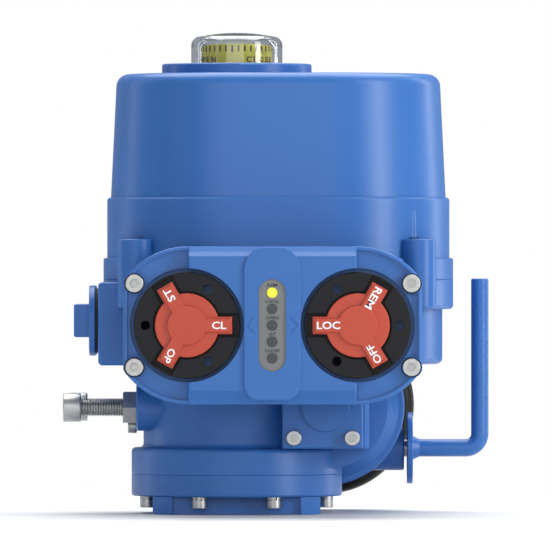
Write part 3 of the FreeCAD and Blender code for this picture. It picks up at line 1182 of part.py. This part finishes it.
def main():
    os.makedirs("parts", exist_ok=True)
    for node, make in PIECES.items():
        shape = make()
        shape.exportStep("parts/" + node + ".step")
        limits = shape.BoundBox
        print(f"{node:22s} valid={shape.isValid()} solids={len(shape.Solids)} cm3={shape.Volume / 1000:8.2f} "
              f"x {limits.XMin:.1f} {limits.XMax:.1f} y {limits.YMin:.1f} {limits.YMax:.1f} "
              f"z {limits.ZMin:.1f} {limits.ZMax:.1f}")


main()
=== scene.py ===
"""Looks of the electric quarter-turn valve actuator: paint, mouldings, threads, scale and lettering."""
import json
import math

import bpy
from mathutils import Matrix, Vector


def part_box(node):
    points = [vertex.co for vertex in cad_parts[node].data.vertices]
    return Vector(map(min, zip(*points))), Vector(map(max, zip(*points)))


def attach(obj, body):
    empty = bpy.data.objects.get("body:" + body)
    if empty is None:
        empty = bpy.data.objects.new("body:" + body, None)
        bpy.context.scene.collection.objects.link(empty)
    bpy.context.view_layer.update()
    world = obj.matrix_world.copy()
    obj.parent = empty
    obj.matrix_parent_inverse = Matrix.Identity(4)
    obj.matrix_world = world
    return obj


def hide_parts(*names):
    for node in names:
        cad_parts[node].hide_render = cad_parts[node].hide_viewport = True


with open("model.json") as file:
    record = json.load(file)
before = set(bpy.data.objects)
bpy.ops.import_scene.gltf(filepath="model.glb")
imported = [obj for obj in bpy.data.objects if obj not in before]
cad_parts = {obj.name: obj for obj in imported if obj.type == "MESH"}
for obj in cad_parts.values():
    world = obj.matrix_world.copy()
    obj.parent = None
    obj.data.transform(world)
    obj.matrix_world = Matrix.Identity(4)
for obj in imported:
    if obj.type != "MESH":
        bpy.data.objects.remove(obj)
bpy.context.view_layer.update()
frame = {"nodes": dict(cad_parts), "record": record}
MM = 0.001

# ---------------------------------------------------------------- places read from the frame
KNOB_LEFT_LOW, KNOB_LEFT_HIGH = (Vector(c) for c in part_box("left_knob_disc"))
KNOB_RIGHT_LOW, KNOB_RIGHT_HIGH = (Vector(c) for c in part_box("right_knob_disc"))
WINDOW_LOW = Vector(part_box("indicator_window")[0])
LIGHTS_LOW, LIGHTS_HIGH = (Vector(c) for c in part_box("status_lights"))
SCALE_LOW, SCALE_HIGH = (Vector(c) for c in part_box("position_drum"))
LEFT_KNOB = (KNOB_LEFT_LOW + KNOB_LEFT_HIGH) / 2
RIGHT_KNOB = (KNOB_RIGHT_LOW + KNOB_RIGHT_HIGH) / 2
LIGHTS_MIDDLE = (LIGHTS_LOW + LIGHTS_HIGH) / 2
LIGHT_PITCH = (LIGHTS_HIGH.z - LIGHTS_LOW.z - (LIGHTS_HIGH.x - LIGHTS_LOW.x)) / 3
SCALE_R = (SCALE_HIGH.x - SCALE_LOW.x) / 2

# ---------------------------------------------------------------- sizes of the new pieces, in metres
INK_T, LABEL_T = 0.16 * MM, 0.16 * MM          # raised lettering on the knobs and by the lights
MARK_T = 0.20 * MM                             # marks on the drum, which stand half out of it
INK_SINK = 0.02 * MM                           # how far the middle of a letter stands before its face
KNOB_LETTER_H, LABEL_H, DRUM_LETTER_H = 4.2 * MM, 1.75 * MM, 3.2 * MM
LABEL_RISE = 4.15 * MM                         # from a light's centre up to its name
TICK_TOP, TICK_LOW, LONG_TICK_LOW = 263.9 * MM, 260.2 * MM, 259.7 * MM
TICK_W, LONG_TICK_W = 0.85 * MM, 1.1 * MM
TICKS, TICK_START, TICK_STEP = 36, -57, 10     # degrees round the drum from its front
DRUM_WORD_Z = 255.75 * MM
THREAD_PITCH, THREAD_CREST, THREAD_ROOT = 1.5 * MM, 4.98 * MM, 4.15 * MM
CREST_SHARE = 0.12                             # flat of the thread as a share of its pitch
HEAD_R, HEAD_H, HEAD_EDGE = 8 * MM, 10 * MM, 0.7 * MM
SOCKET_R, SOCKET_DEPTH = 4.62 * MM, 5 * MM


# ---------------------------------------------------------------- camera, floor and light
def aim(obj, target):
    obj.rotation_euler = (Vector(target) - obj.location).to_track_quat("-Z", "Y").to_euler()


def set_camera():
    """A long lens far in front, level with the middle of the actuator."""
    distance, middle_x, middle_z = 6.0, 0.02215, 0.1337
    seen_width = 0.31186
    data = bpy.data.cameras.new("camera")
    data.sensor_width = 36.0
    data.lens = data.sensor_width * distance / seen_width
    data.clip_end = 40.0
    camera = bpy.data.objects.new("camera", data)
    camera.location = (middle_x, -distance, middle_z)
    camera.rotation_euler = (math.radians(90), 0, 0)
    bpy.context.collection.objects.link(camera)
    bpy.context.scene.camera = camera


def area_light(name, place, target, size, power, tint=(1, 1, 1), shine=1.0):
    data = bpy.data.lights.new(name, "AREA")
    data.shape, data.size, data.size_y = "RECTANGLE", size[0], size[1]
    data.energy, data.color, data.specular_factor = power, tint, shine
    light = bpy.data.objects.new(name, data)
    light.location = place
    bpy.context.collection.objects.link(light)
    aim(light, target)


def set_studio():
    """Pale floor under a broad overhead light, white behind, and narrow soft boxes that draw the edges."""
    bpy.ops.mesh.primitive_plane_add(size=1, location=(0.02, -1.2, -0.0002))
    floor = bpy.context.object
    floor.name = "floor"
    floor.scale = (3.2, 3.4, 1)
    bpy.ops.object.transform_apply(scale=True)
    floor.data.materials.append(plain_surface("studio_floor", (0.70, 0.70, 0.70), 0.9))
    world = bpy.data.worlds.new("studio")
    bpy.context.scene.world = world
    world.use_nodes = True
    tree = world.node_tree
    back = tree.nodes["Background"]
    back.inputs["Color"].default_value = (0.82, 0.88, 1.0, 1)
    back.inputs["Strength"].default_value = 0.36
    seen = tree.nodes.new("ShaderNodeBackground")
    seen.inputs["Color"].default_value = (1, 1, 1, 1)
    seen.inputs["Strength"].default_value = 1.0
    ray = tree.nodes.new("ShaderNodeLightPath")
    mix = tree.nodes.new("ShaderNodeMixShader")
    link(tree, ray.outputs["Is Camera Ray"], mix.inputs["Fac"])
    link(tree, back.outputs["Background"], mix.inputs[1])
    link(tree, seen.outputs["Background"], mix.inputs[2])
    link(tree, mix.outputs["Shader"], tree.nodes["World Output"].inputs["Surface"])
    middle = (0.02, 0, 0.13)
    area_light("overhead", (0.02, 0.7, 2.2), (0.02, 0, 0), (2.6, 2.2), 88.0, shine=0.3)
    area_light("front_fill", (-0.2, -2.6, 0.75), middle, (2.2, 1.2), 15.0, shine=0.08)
    area_light("right_box", (1.05, -0.68, 0.35), middle, (0.30, 1.5), 14.0)
    area_light("right_rim", (1.02, 0.64, 0.35), middle, (0.10, 1.4), 4.0)
    area_light("left_box", (-0.98, -0.72, 0.35), middle, (0.10, 1.4), 0.5)
    area_light("left_rim", (-1.0, 0.40, 0.35), middle, (0.10, 1.4), 1.5)
    scene = bpy.context.scene
    scene.view_settings.view_transform = "Standard"
    scene.view_settings.look = "None"


# ---------------------------------------------------------------- shader groups used by several finishes
def new_group(name, inputs, outputs):
    group = bpy.data.node_groups.new(name, "ShaderNodeTree")
    for label, kind, value in inputs:
        socket = group.interface.new_socket(label, in_out="INPUT", socket_type=kind)
        socket.default_value = value
    for label, kind in outputs:
        group.interface.new_socket(label, in_out="OUTPUT", socket_type=kind)
    return group, group.nodes.new("NodeGroupInput"), group.nodes.new("NodeGroupOutput")


def link(tree, start, end):
    tree.links.new(start, end)


def noise(tree, coords, scale, detail=2.0, rough=0.5):
    node = tree.nodes.new("ShaderNodeTexNoise")
    node.inputs["Scale"].default_value = scale
    node.inputs["Detail"].default_value = detail
    node.inputs["Roughness"].default_value = rough
    link(tree, coords, node.inputs["Vector"])
    return node


def build_cast_skin():
    """Orange peel of sprayed powder over the low swells of a casting."""
    group, given, made = new_group(
        "cast_skin",
        [("Peel scale", "NodeSocketFloat", 900.0), ("Swell scale", "NodeSocketFloat", 45.0),
         ("Swell share", "NodeSocketFloat", 0.4)],
        [("Height", "NodeSocketFloat"), ("Cloud", "NodeSocketFloat")])
    coords = group.nodes.new("ShaderNodeTexCoord").outputs["Object"]
    peel, swell = noise(group, coords, 900.0, 3.0), noise(group, coords, 45.0, 1.0)
    link(group, given.outputs["Peel scale"], peel.inputs["Scale"])
    link(group, given.outputs["Swell scale"], swell.inputs["Scale"])
    mix = group.nodes.new("ShaderNodeMix")
    link(group, given.outputs["Swell share"], mix.inputs["Factor"])
    link(group, peel.outputs["Fac"], mix.inputs["A"])
    link(group, swell.outputs["Fac"], mix.inputs["B"])
    link(group, mix.outputs["Result"], made.inputs["Height"])
    cloud = noise(group, coords, 22.0, 2.0)
    link(group, cloud.outputs["Fac"], made.inputs["Cloud"])
    return group


def build_tool_marks():
    """Fine turned or ground lines, broken up so that no two runs match."""
    group, given, made = new_group(
        "tool_marks",
        [("Scale", "NodeSocketFloat", 500.0), ("Stretch", "NodeSocketVector", (1.0, 1.0, 30.0))],
        [("Height", "NodeSocketFloat"), ("Streak", "NodeSocketFloat")])
    coords = group.nodes.new("ShaderNodeTexCoord").outputs["Object"]
    stretch = group.nodes.new("ShaderNodeVectorMath")
    stretch.operation = "MULTIPLY"
    link(group, coords, stretch.inputs[0])
    link(group, given.outputs["Stretch"], stretch.inputs[1])
    lines = noise(group, stretch.outputs["Vector"], 500.0, 4.0, 0.7)
    link(group, given.outputs["Scale"], lines.inputs["Scale"])
    link(group, lines.outputs["Fac"], made.inputs["Height"])
    broad = noise(group, stretch.outputs["Vector"], 60.0, 2.0)
    link(group, broad.outputs["Fac"], made.inputs["Streak"])
    return group


# ---------------------------------------------------------------- finishes
def blank(name):
    material = bpy.data.materials.new(name)
    material.use_nodes = True
    return material, material.node_tree, material.node_tree.nodes["Principled BSDF"]


def two_tone(tree, mask, dark, light):
    """Colour that drifts between two close tones."""
    node = tree.nodes.new("ShaderNodeMix")
    node.data_type = "RGBA"
    node.inputs[6].default_value, node.inputs[7].default_value = (*dark, 1), (*light, 1)
    link(tree, mask, node.inputs["Factor"])
    return node.outputs[2]


def bump(tree, shader, height, strength, distance):
    node = tree.nodes.new("ShaderNodeBump")
    node.inputs["Strength"].default_value, node.inputs["Distance"].default_value = strength, distance
    link(tree, height, node.inputs["Height"])
    link(tree, node.outputs["Normal"], shader.inputs["Normal"])


def plain_surface(name, colour, roughness):
    material, tree, shader = blank(name)
    coords = tree.nodes.new("ShaderNodeTexCoord").outputs["Object"]
    drift = noise(tree, coords, 3.0)
    link(tree, two_tone(tree, drift.outputs["Fac"], tuple(c * 0.985 for c in colour), colour),
         shader.inputs["Base Color"])
    shader.inputs["Roughness"].default_value = roughness
    return material


def skinned(name, dark, light, roughness, peel=900.0, swell=45.0, share=0.4, depth=0.00012, strength=0.35,
            coat=0.0, specular=0.5):
    """A sprayed or moulded finish on the shared cast skin."""
    material, tree, shader = blank(name)
    skin = tree.nodes.new("ShaderNodeGroup")
    skin.node_tree = bpy.data.node_groups["cast_skin"]
    skin.inputs["Peel scale"].default_value = peel
    skin.inputs["Swell scale"].default_value = swell
    skin.inputs["Swell share"].default_value = share
    link(tree, two_tone(tree, skin.outputs["Cloud"], dark, light), shader.inputs["Base Color"])
    spread = tree.nodes.new("ShaderNodeMapRange")
    spread.inputs["To Min"].default_value = roughness - 0.04
    spread.inputs["To Max"].default_value = roughness + 0.04
    link(tree, skin.outputs["Cloud"], spread.inputs["Value"])
    link(tree, spread.outputs["Result"], shader.inputs["Roughness"])
    shader.inputs["Specular IOR Level"].default_value = specular
    shader.inputs["Coat Weight"].default_value = coat
    shader.inputs["Coat Roughness"].default_value = 0.12
    bump(tree, shader, skin.outputs["Height"], strength, depth)
    return material


def machined(name, dark, light, roughness, scale=500.0, stretch=(1, 1, 30), depth=0.00006):
    """Bare metal with fine tool marks."""
    material, tree, shader = blank(name)
    marks = tree.nodes.new("ShaderNodeGroup")
    marks.node_tree = bpy.data.node_groups["tool_marks"]
    marks.inputs["Scale"].default_value = scale
    marks.inputs["Stretch"].default_value = stretch
    link(tree, two_tone(tree, marks.outputs["Streak"], dark, light), shader.inputs["Base Color"])
    shader.inputs["Metallic"].default_value = 1.0
    spread = tree.nodes.new("ShaderNodeMapRange")
    spread.inputs["To Min"].default_value = roughness - 0.06
    spread.inputs["To Max"].default_value = roughness + 0.08
    link(tree, marks.outputs["Streak"], spread.inputs["Value"])
    link(tree, spread.outputs["Result"], shader.inputs["Roughness"])
    bump(tree, shader, marks.outputs["Height"], 0.25, depth)
    return material


def dome_glass():
    material, tree, shader = blank("dome_glass")
    coords = tree.nodes.new("ShaderNodeTexCoord").outputs["Object"]
    haze = noise(tree, coords, 80.0)
    shader.inputs["Base Color"].default_value = (0.96, 0.97, 0.97, 1)
    shader.inputs["Transmission Weight"].default_value = 1.0
    shader.inputs["IOR"].default_value = 1.49
    shader.inputs["Roughness"].default_value = 0.03
    bump(tree, shader, haze.outputs["Fac"], 0.05, 0.00005)
    return material


def lit_lens():
    material, tree, shader = blank("lit_lens")
    coords = tree.nodes.new("ShaderNodeTexCoord").outputs["Object"]
    facets = tree.nodes.new("ShaderNodeTexVoronoi")
    facets.inputs["Scale"].default_value = 900.0
    link(tree, coords, facets.inputs["Vector"])
    colour = two_tone(tree, facets.outputs["Distance"], (0.80, 0.86, 0.05), (0.62, 0.72, 0.02))
    link(tree, colour, shader.inputs["Base Color"])
    link(tree, colour, shader.inputs["Emission Color"])
    shader.inputs["Emission Strength"].default_value = 0.22
    shader.inputs["Roughness"].default_value = 0.25
    return material


def make_finishes():
    build_cast_skin()
    build_tool_marks()
    return {
        "blue_paint": skinned("blue_paint", (0.028, 0.126, 0.385), (0.034, 0.140, 0.420), 0.34, depth=0.00010,
                              specular=0.38),
        "black_moulding": skinned("black_moulding", (0.006, 0.006, 0.007), (0.010, 0.010, 0.011), 0.42,
                                  peel=1500.0, specular=0.22),
        "red_moulding": skinned("red_moulding", (0.44, 0.046, 0.018), (0.49, 0.054, 0.022), 0.40, peel=1400.0),
        "yellow_scale": skinned("yellow_scale", (0.62, 0.56, 0.045), (0.70, 0.64, 0.06), 0.45, peel=1600.0),
        "clear_dome": dome_glass(),
        "stainless": machined("stainless", (0.40, 0.40, 0.39), (0.52, 0.52, 0.50), 0.38, stretch=(6, 1, 6)),
        "steel": machined("steel", (0.34, 0.34, 0.36), (0.52, 0.52, 0.54), 0.34),
        "bronze": machined("bronze", (0.50, 0.30, 0.12), (0.66, 0.44, 0.20), 0.34),
        "rubber_seal": skinned("rubber_seal", (0.010, 0.010, 0.010), (0.018, 0.018, 0.018), 0.75, peel=2000.0),
        "grey_window": skinned("grey_window", (0.13, 0.135, 0.13), (0.19, 0.195, 0.19), 0.32, peel=2500.0,
                               depth=0.00004),
        "green_light": lit_lens(),
        "dark_light": skinned("dark_light", (0.035, 0.037, 0.038), (0.055, 0.058, 0.060), 0.22, peel=2500.0,
                              depth=0.00003),
        "board_green": skinned("board_green", (0.012, 0.10, 0.045), (0.016, 0.14, 0.06), 0.4, peel=2200.0),
        "motor_can": skinned("motor_can", (0.012, 0.012, 0.014), (0.02, 0.02, 0.024), 0.35),
        "grey_plastic": skinned("grey_plastic", (0.16, 0.165, 0.17), (0.21, 0.215, 0.22), 0.5, peel=1600.0),
        "cast_aluminium": machined("cast_aluminium", (0.45, 0.45, 0.46), (0.60, 0.60, 0.61), 0.48,
                                   scale=260.0, stretch=(1, 1, 1)),
    }


def dress_nodes(finishes):
    """Give every CAD node the finish of its slot."""
    slots = {part["node"]: part["material_slot"] for part in frame["record"]["subparts"]}
    for node, obj in frame["nodes"].items():
        obj.data.materials.clear()
        obj.data.materials.append(finishes[slots[node]])


# ---------------------------------------------------------------- lettering and scale
def word(text, height, width, thickness):
    """Letters cut from thin sheet, centred on the origin and facing up."""
    bpy.ops.object.text_add(location=(0, 0, 0))
    piece = bpy.context.object
    piece.data.body = text
    piece.data.align_x, piece.data.align_y = "CENTER", "CENTER"
    piece.data.extrude, piece.data.offset = 0.05, 0.018
    piece.data.resolution_u = 3
    bpy.ops.object.convert(target="MESH")
    piece = bpy.context.object
    bpy.ops.object.mode_set(mode="EDIT")
    bpy.ops.mesh.select_all(action="SELECT")
    bpy.ops.mesh.remove_doubles(threshold=0.0002)
    bpy.ops.mesh.normals_make_consistent(inside=False)
    bpy.ops.object.mode_set(mode="OBJECT")
    bpy.ops.object.origin_set(type="ORIGIN_GEOMETRY", center="BOUNDS")
    piece.location = (0, 0, 0)
    piece.dimensions = (width, height, thickness)
    bpy.ops.object.transform_apply(location=True, scale=True)
    return piece


def settle(piece, place, turn):
    """Turn a piece about the origin, move it into place and fix both into its mesh."""
    bpy.ops.object.select_all(action="DESELECT")
    piece.select_set(True)
    bpy.context.view_layer.objects.active = piece
    piece.rotation_euler, piece.location = turn, place
    bpy.ops.object.transform_apply(location=True, rotation=True, scale=True)


def gather(pieces, name):
    bpy.ops.object.select_all(action="DESELECT")
    for piece in pieces:
        piece.select_set(True)
    bpy.context.view_layer.objects.active = pieces[0]
    if len(pieces) > 1:
        bpy.ops.object.join()
    pieces[0].name = name
    return pieces[0]


def finish_piece(piece, name, material, body):
    piece.name = name
    piece.data.materials.clear()
    piece.data.materials.append(material)
    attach(piece, body)


def knob_words(name, body, centre, labels, turned):
    """White words on the three arms; each reads along its own arm."""
    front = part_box(name + "_handle")[0][1]
    pieces = []
    for text, angle, reach, width in labels:
        piece = word(text, KNOB_LETTER_H, width * MM, INK_T)
        a = math.radians(angle)
        place = (centre.x + reach * MM * math.cos(a), front - INK_SINK, centre.z + reach * MM * math.sin(a))
        settle(piece, (0, 0, 0), (0, 0, math.radians(angle + turned)))
        settle(piece, place, (math.radians(90), 0, 0))
        pieces.append(piece)
    finish_piece(gather(pieces, name + "_words"), name + "_words", INKS["white_ink"], body)


def light_words():
    """Small dark names above the five lights, from the lowest up, with each name's width in mm."""
    names = (("CLOSE", 8.3), ("O/T", 4.1), ("OPEN", 7.1), ("LOCAL", 8.0), ("REM", 5.5))
    pieces = []
    for step, (text, width) in enumerate(names):
        piece = word(text, LABEL_H, width * MM, LABEL_T)
        z = LEFT_KNOB.z + (step - 2) * LIGHT_PITCH + LABEL_RISE
        settle(piece, (LIGHTS_MIDDLE.x, WINDOW_LOW.y - INK_SINK, z), (math.radians(90), 0, 0))
        pieces.append(piece)
    finish_piece(gather(pieces, "light_words"), "light_words", INKS["grey_ink"], "housing")


def around_drum(piece, angle, z):
    """Stand a flat piece on the drum, `angle` degrees to the right of its front."""
    a = math.radians(angle)
    place = (SCALE_R * math.sin(a), -SCALE_R * math.cos(a), z)
    settle(piece, (0, 0, 0), (math.radians(90), 0, 0))
    settle(piece, place, (0, 0, a))


def scale_marks():
    """Tick marks round the drum and one letter at a time of its two words."""
    pieces = []
    for step in range(TICKS):
        long_one = step in (0, 5, 10)
        low, wide = (LONG_TICK_LOW, LONG_TICK_W) if long_one else (TICK_LOW, TICK_W)
        bpy.ops.mesh.primitive_cube_add(size=1)
        tick = bpy.context.object
        tick.scale = (wide, TICK_TOP - low, MARK_T)
        bpy.ops.object.transform_apply(scale=True)
        around_drum(tick, step * TICK_STEP + TICK_START, (TICK_TOP + low) / 2)
        pieces.append(tick)
    letters = (("O", -76.5), ("P", -64), ("E", -51.8), ("N", -39.4),
               ("C", 20), ("L", 31.3), ("O", 42.6), ("S", 54.8), ("E", 66.6))
    for letter, angle in letters:
        width = 2.6 if letter in "LE" else 3.1
        piece = word(letter, DRUM_LETTER_H, width * MM, MARK_T)
        around_drum(piece, angle, DRUM_WORD_Z)
        pieces.append(piece)
    finish_piece(gather(pieces, "scale_marks"), "scale_marks", INKS["black_ink"], "output")


# ---------------------------------------------------------------- threaded travel stops
def select_where(obj, test):
    """Select only the vertices that pass the test, and go into edit mode."""
    bpy.ops.object.mode_set(mode="EDIT")
    bpy.ops.mesh.select_all(action="DESELECT")
    bpy.ops.object.mode_set(mode="OBJECT")
    for vertex in obj.data.vertices:
        vertex.select = test(vertex.co)
    bpy.ops.object.mode_set(mode="EDIT")


def thread_profile():
    """One pitch of the thread in section: two flanks and the flat crest between them."""
    middle = (THREAD_CREST + THREAD_ROOT) / 2
    bpy.ops.mesh.primitive_plane_add(size=1, location=(THREAD_PITCH / 2, middle, 0))
    shank = bpy.context.object
    shank.scale = (THREAD_PITCH, THREAD_CREST - THREAD_ROOT, 1)
    bpy.ops.object.transform_apply(location=True, scale=True)
    bpy.ops.object.mode_set(mode="EDIT")
    bpy.ops.mesh.delete(type="ONLY_FACE")
    bpy.ops.object.mode_set(mode="OBJECT")
    select_where(shank, lambda place: place.y < middle)
    bpy.ops.mesh.delete(type="EDGE")
    bpy.ops.object.mode_set(mode="OBJECT")
    select_where(shank, lambda place: place.y > middle)
    bpy.ops.transform.resize(value=(CREST_SHARE, 1, 1), center_override=(THREAD_PITCH / 2, middle, 0))
    bpy.ops.object.mode_set(mode="OBJECT")
    return shank


def threaded_shank(seat, tip, middle_y, middle_z):
    """The profile wound into a helix past both ends, then trimmed flat and closed at each."""
    shank = thread_profile()
    spin = shank.modifiers.new("thread", "SCREW")
    spin.axis, spin.angle, spin.screw_offset = "X", math.radians(360), THREAD_PITCH
    spin.iterations, spin.steps, spin.render_steps = int((tip - seat) / THREAD_PITCH) + 4, 40, 40
    spin.use_merge_vertices, spin.merge_threshold = True, 0.00001
    bpy.ops.object.modifier_apply(modifier="thread")
    settle(shank, (seat - 2 * THREAD_PITCH, middle_y, middle_z), (0, 0, 0))
    bpy.ops.object.mode_set(mode="EDIT")
    for place, inner in ((seat, True), (tip, False)):
        bpy.ops.mesh.select_all(action="SELECT")
        bpy.ops.mesh.bisect(plane_co=(place, middle_y, middle_z), plane_no=(1, 0, 0), use_fill=True,
                            clear_inner=inner, clear_outer=not inner)
    bpy.ops.mesh.select_all(action="SELECT")
    bpy.ops.mesh.normals_make_consistent(inside=False)
    bpy.ops.object.mode_set(mode="OBJECT")
    return shank


def socket_head(face, middle_y, middle_z):
    """Cylinder head with a rounded rim and a hexagon socket in its outer face."""
    bpy.ops.mesh.primitive_cylinder_add(vertices=96, radius=HEAD_R, depth=HEAD_H)
    head = bpy.context.object
    edge = head.modifiers.new("edge", "BEVEL")
    edge.width, edge.segments, edge.limit_method = HEAD_EDGE, 3, "ANGLE"
    bpy.ops.object.modifier_apply(modifier="edge")
    settle(head, (face + HEAD_H / 2, middle_y, middle_z), (0, math.radians(90), 0))
    bpy.ops.mesh.primitive_cylinder_add(vertices=6, radius=SOCKET_R, depth=2 * SOCKET_DEPTH)
    socket = bpy.context.object
    settle(socket, (face, middle_y, middle_z), (0, math.radians(90), 0))
    cut = head.modifiers.new("socket", "BOOLEAN")
    cut.operation, cut.object, cut.solver = "DIFFERENCE", socket, "EXACT"
    bpy.context.view_layer.objects.active = head
    bpy.ops.object.modifier_apply(modifier="socket")
    bpy.data.objects.remove(socket)
    return head


def stop_screw(node, body, finish):
    """Cap screw with a cut thread under a socket head."""
    low, high = (Vector(c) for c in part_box(node))
    middle_y, middle_z = (low.y + high.y) / 2, (low.z + high.z) / 2
    shank = threaded_shank(low.x + HEAD_H, high.x, middle_y, middle_z)
    head = socket_head(low.x, middle_y, middle_z)
    piece = gather([head, shank], node + "_threaded")
    bpy.ops.object.shade_smooth_by_angle(angle=math.radians(30))
    finish_piece(piece, node + "_threaded", finish, body)
    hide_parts(node)


set_camera()
finishes = make_finishes()
INKS = {
    "white_ink": skinned("white_ink", (0.84, 0.84, 0.84), (0.90, 0.90, 0.90), 0.45, peel=2500.0),
    "black_ink": skinned("black_ink", (0.010, 0.010, 0.010), (0.020, 0.020, 0.018), 0.5, peel=2500.0),
    "grey_ink": skinned("grey_ink", (0.014, 0.014, 0.014), (0.022, 0.022, 0.022), 0.5, peel=2500.0),
}
set_studio()
dress_nodes(finishes)
# each word: text, angle of its arm, distance from the knob's centre and width, both in mm
knob_words("left_knob", "left_knob", LEFT_KNOB,
           (("CL", 0, 17.8, 7.9), ("ST", 120, 19.4, 7.6), ("OP", 240, 19.4, 8.2)), 0)
knob_words("right_knob", "right_knob", RIGHT_KNOB,
           (("LOC", 180, 16.1, 12.9), ("REM", 60, 17.4, 12.8), ("OFF", 300, 18.2, 11.2)), 180)
light_words()
scale_marks()
stop_screw("stop_screw_front", "front_stop", finishes["stainless"])
stop_screw("stop_screw_back", "back_stop", finishes["stainless"])
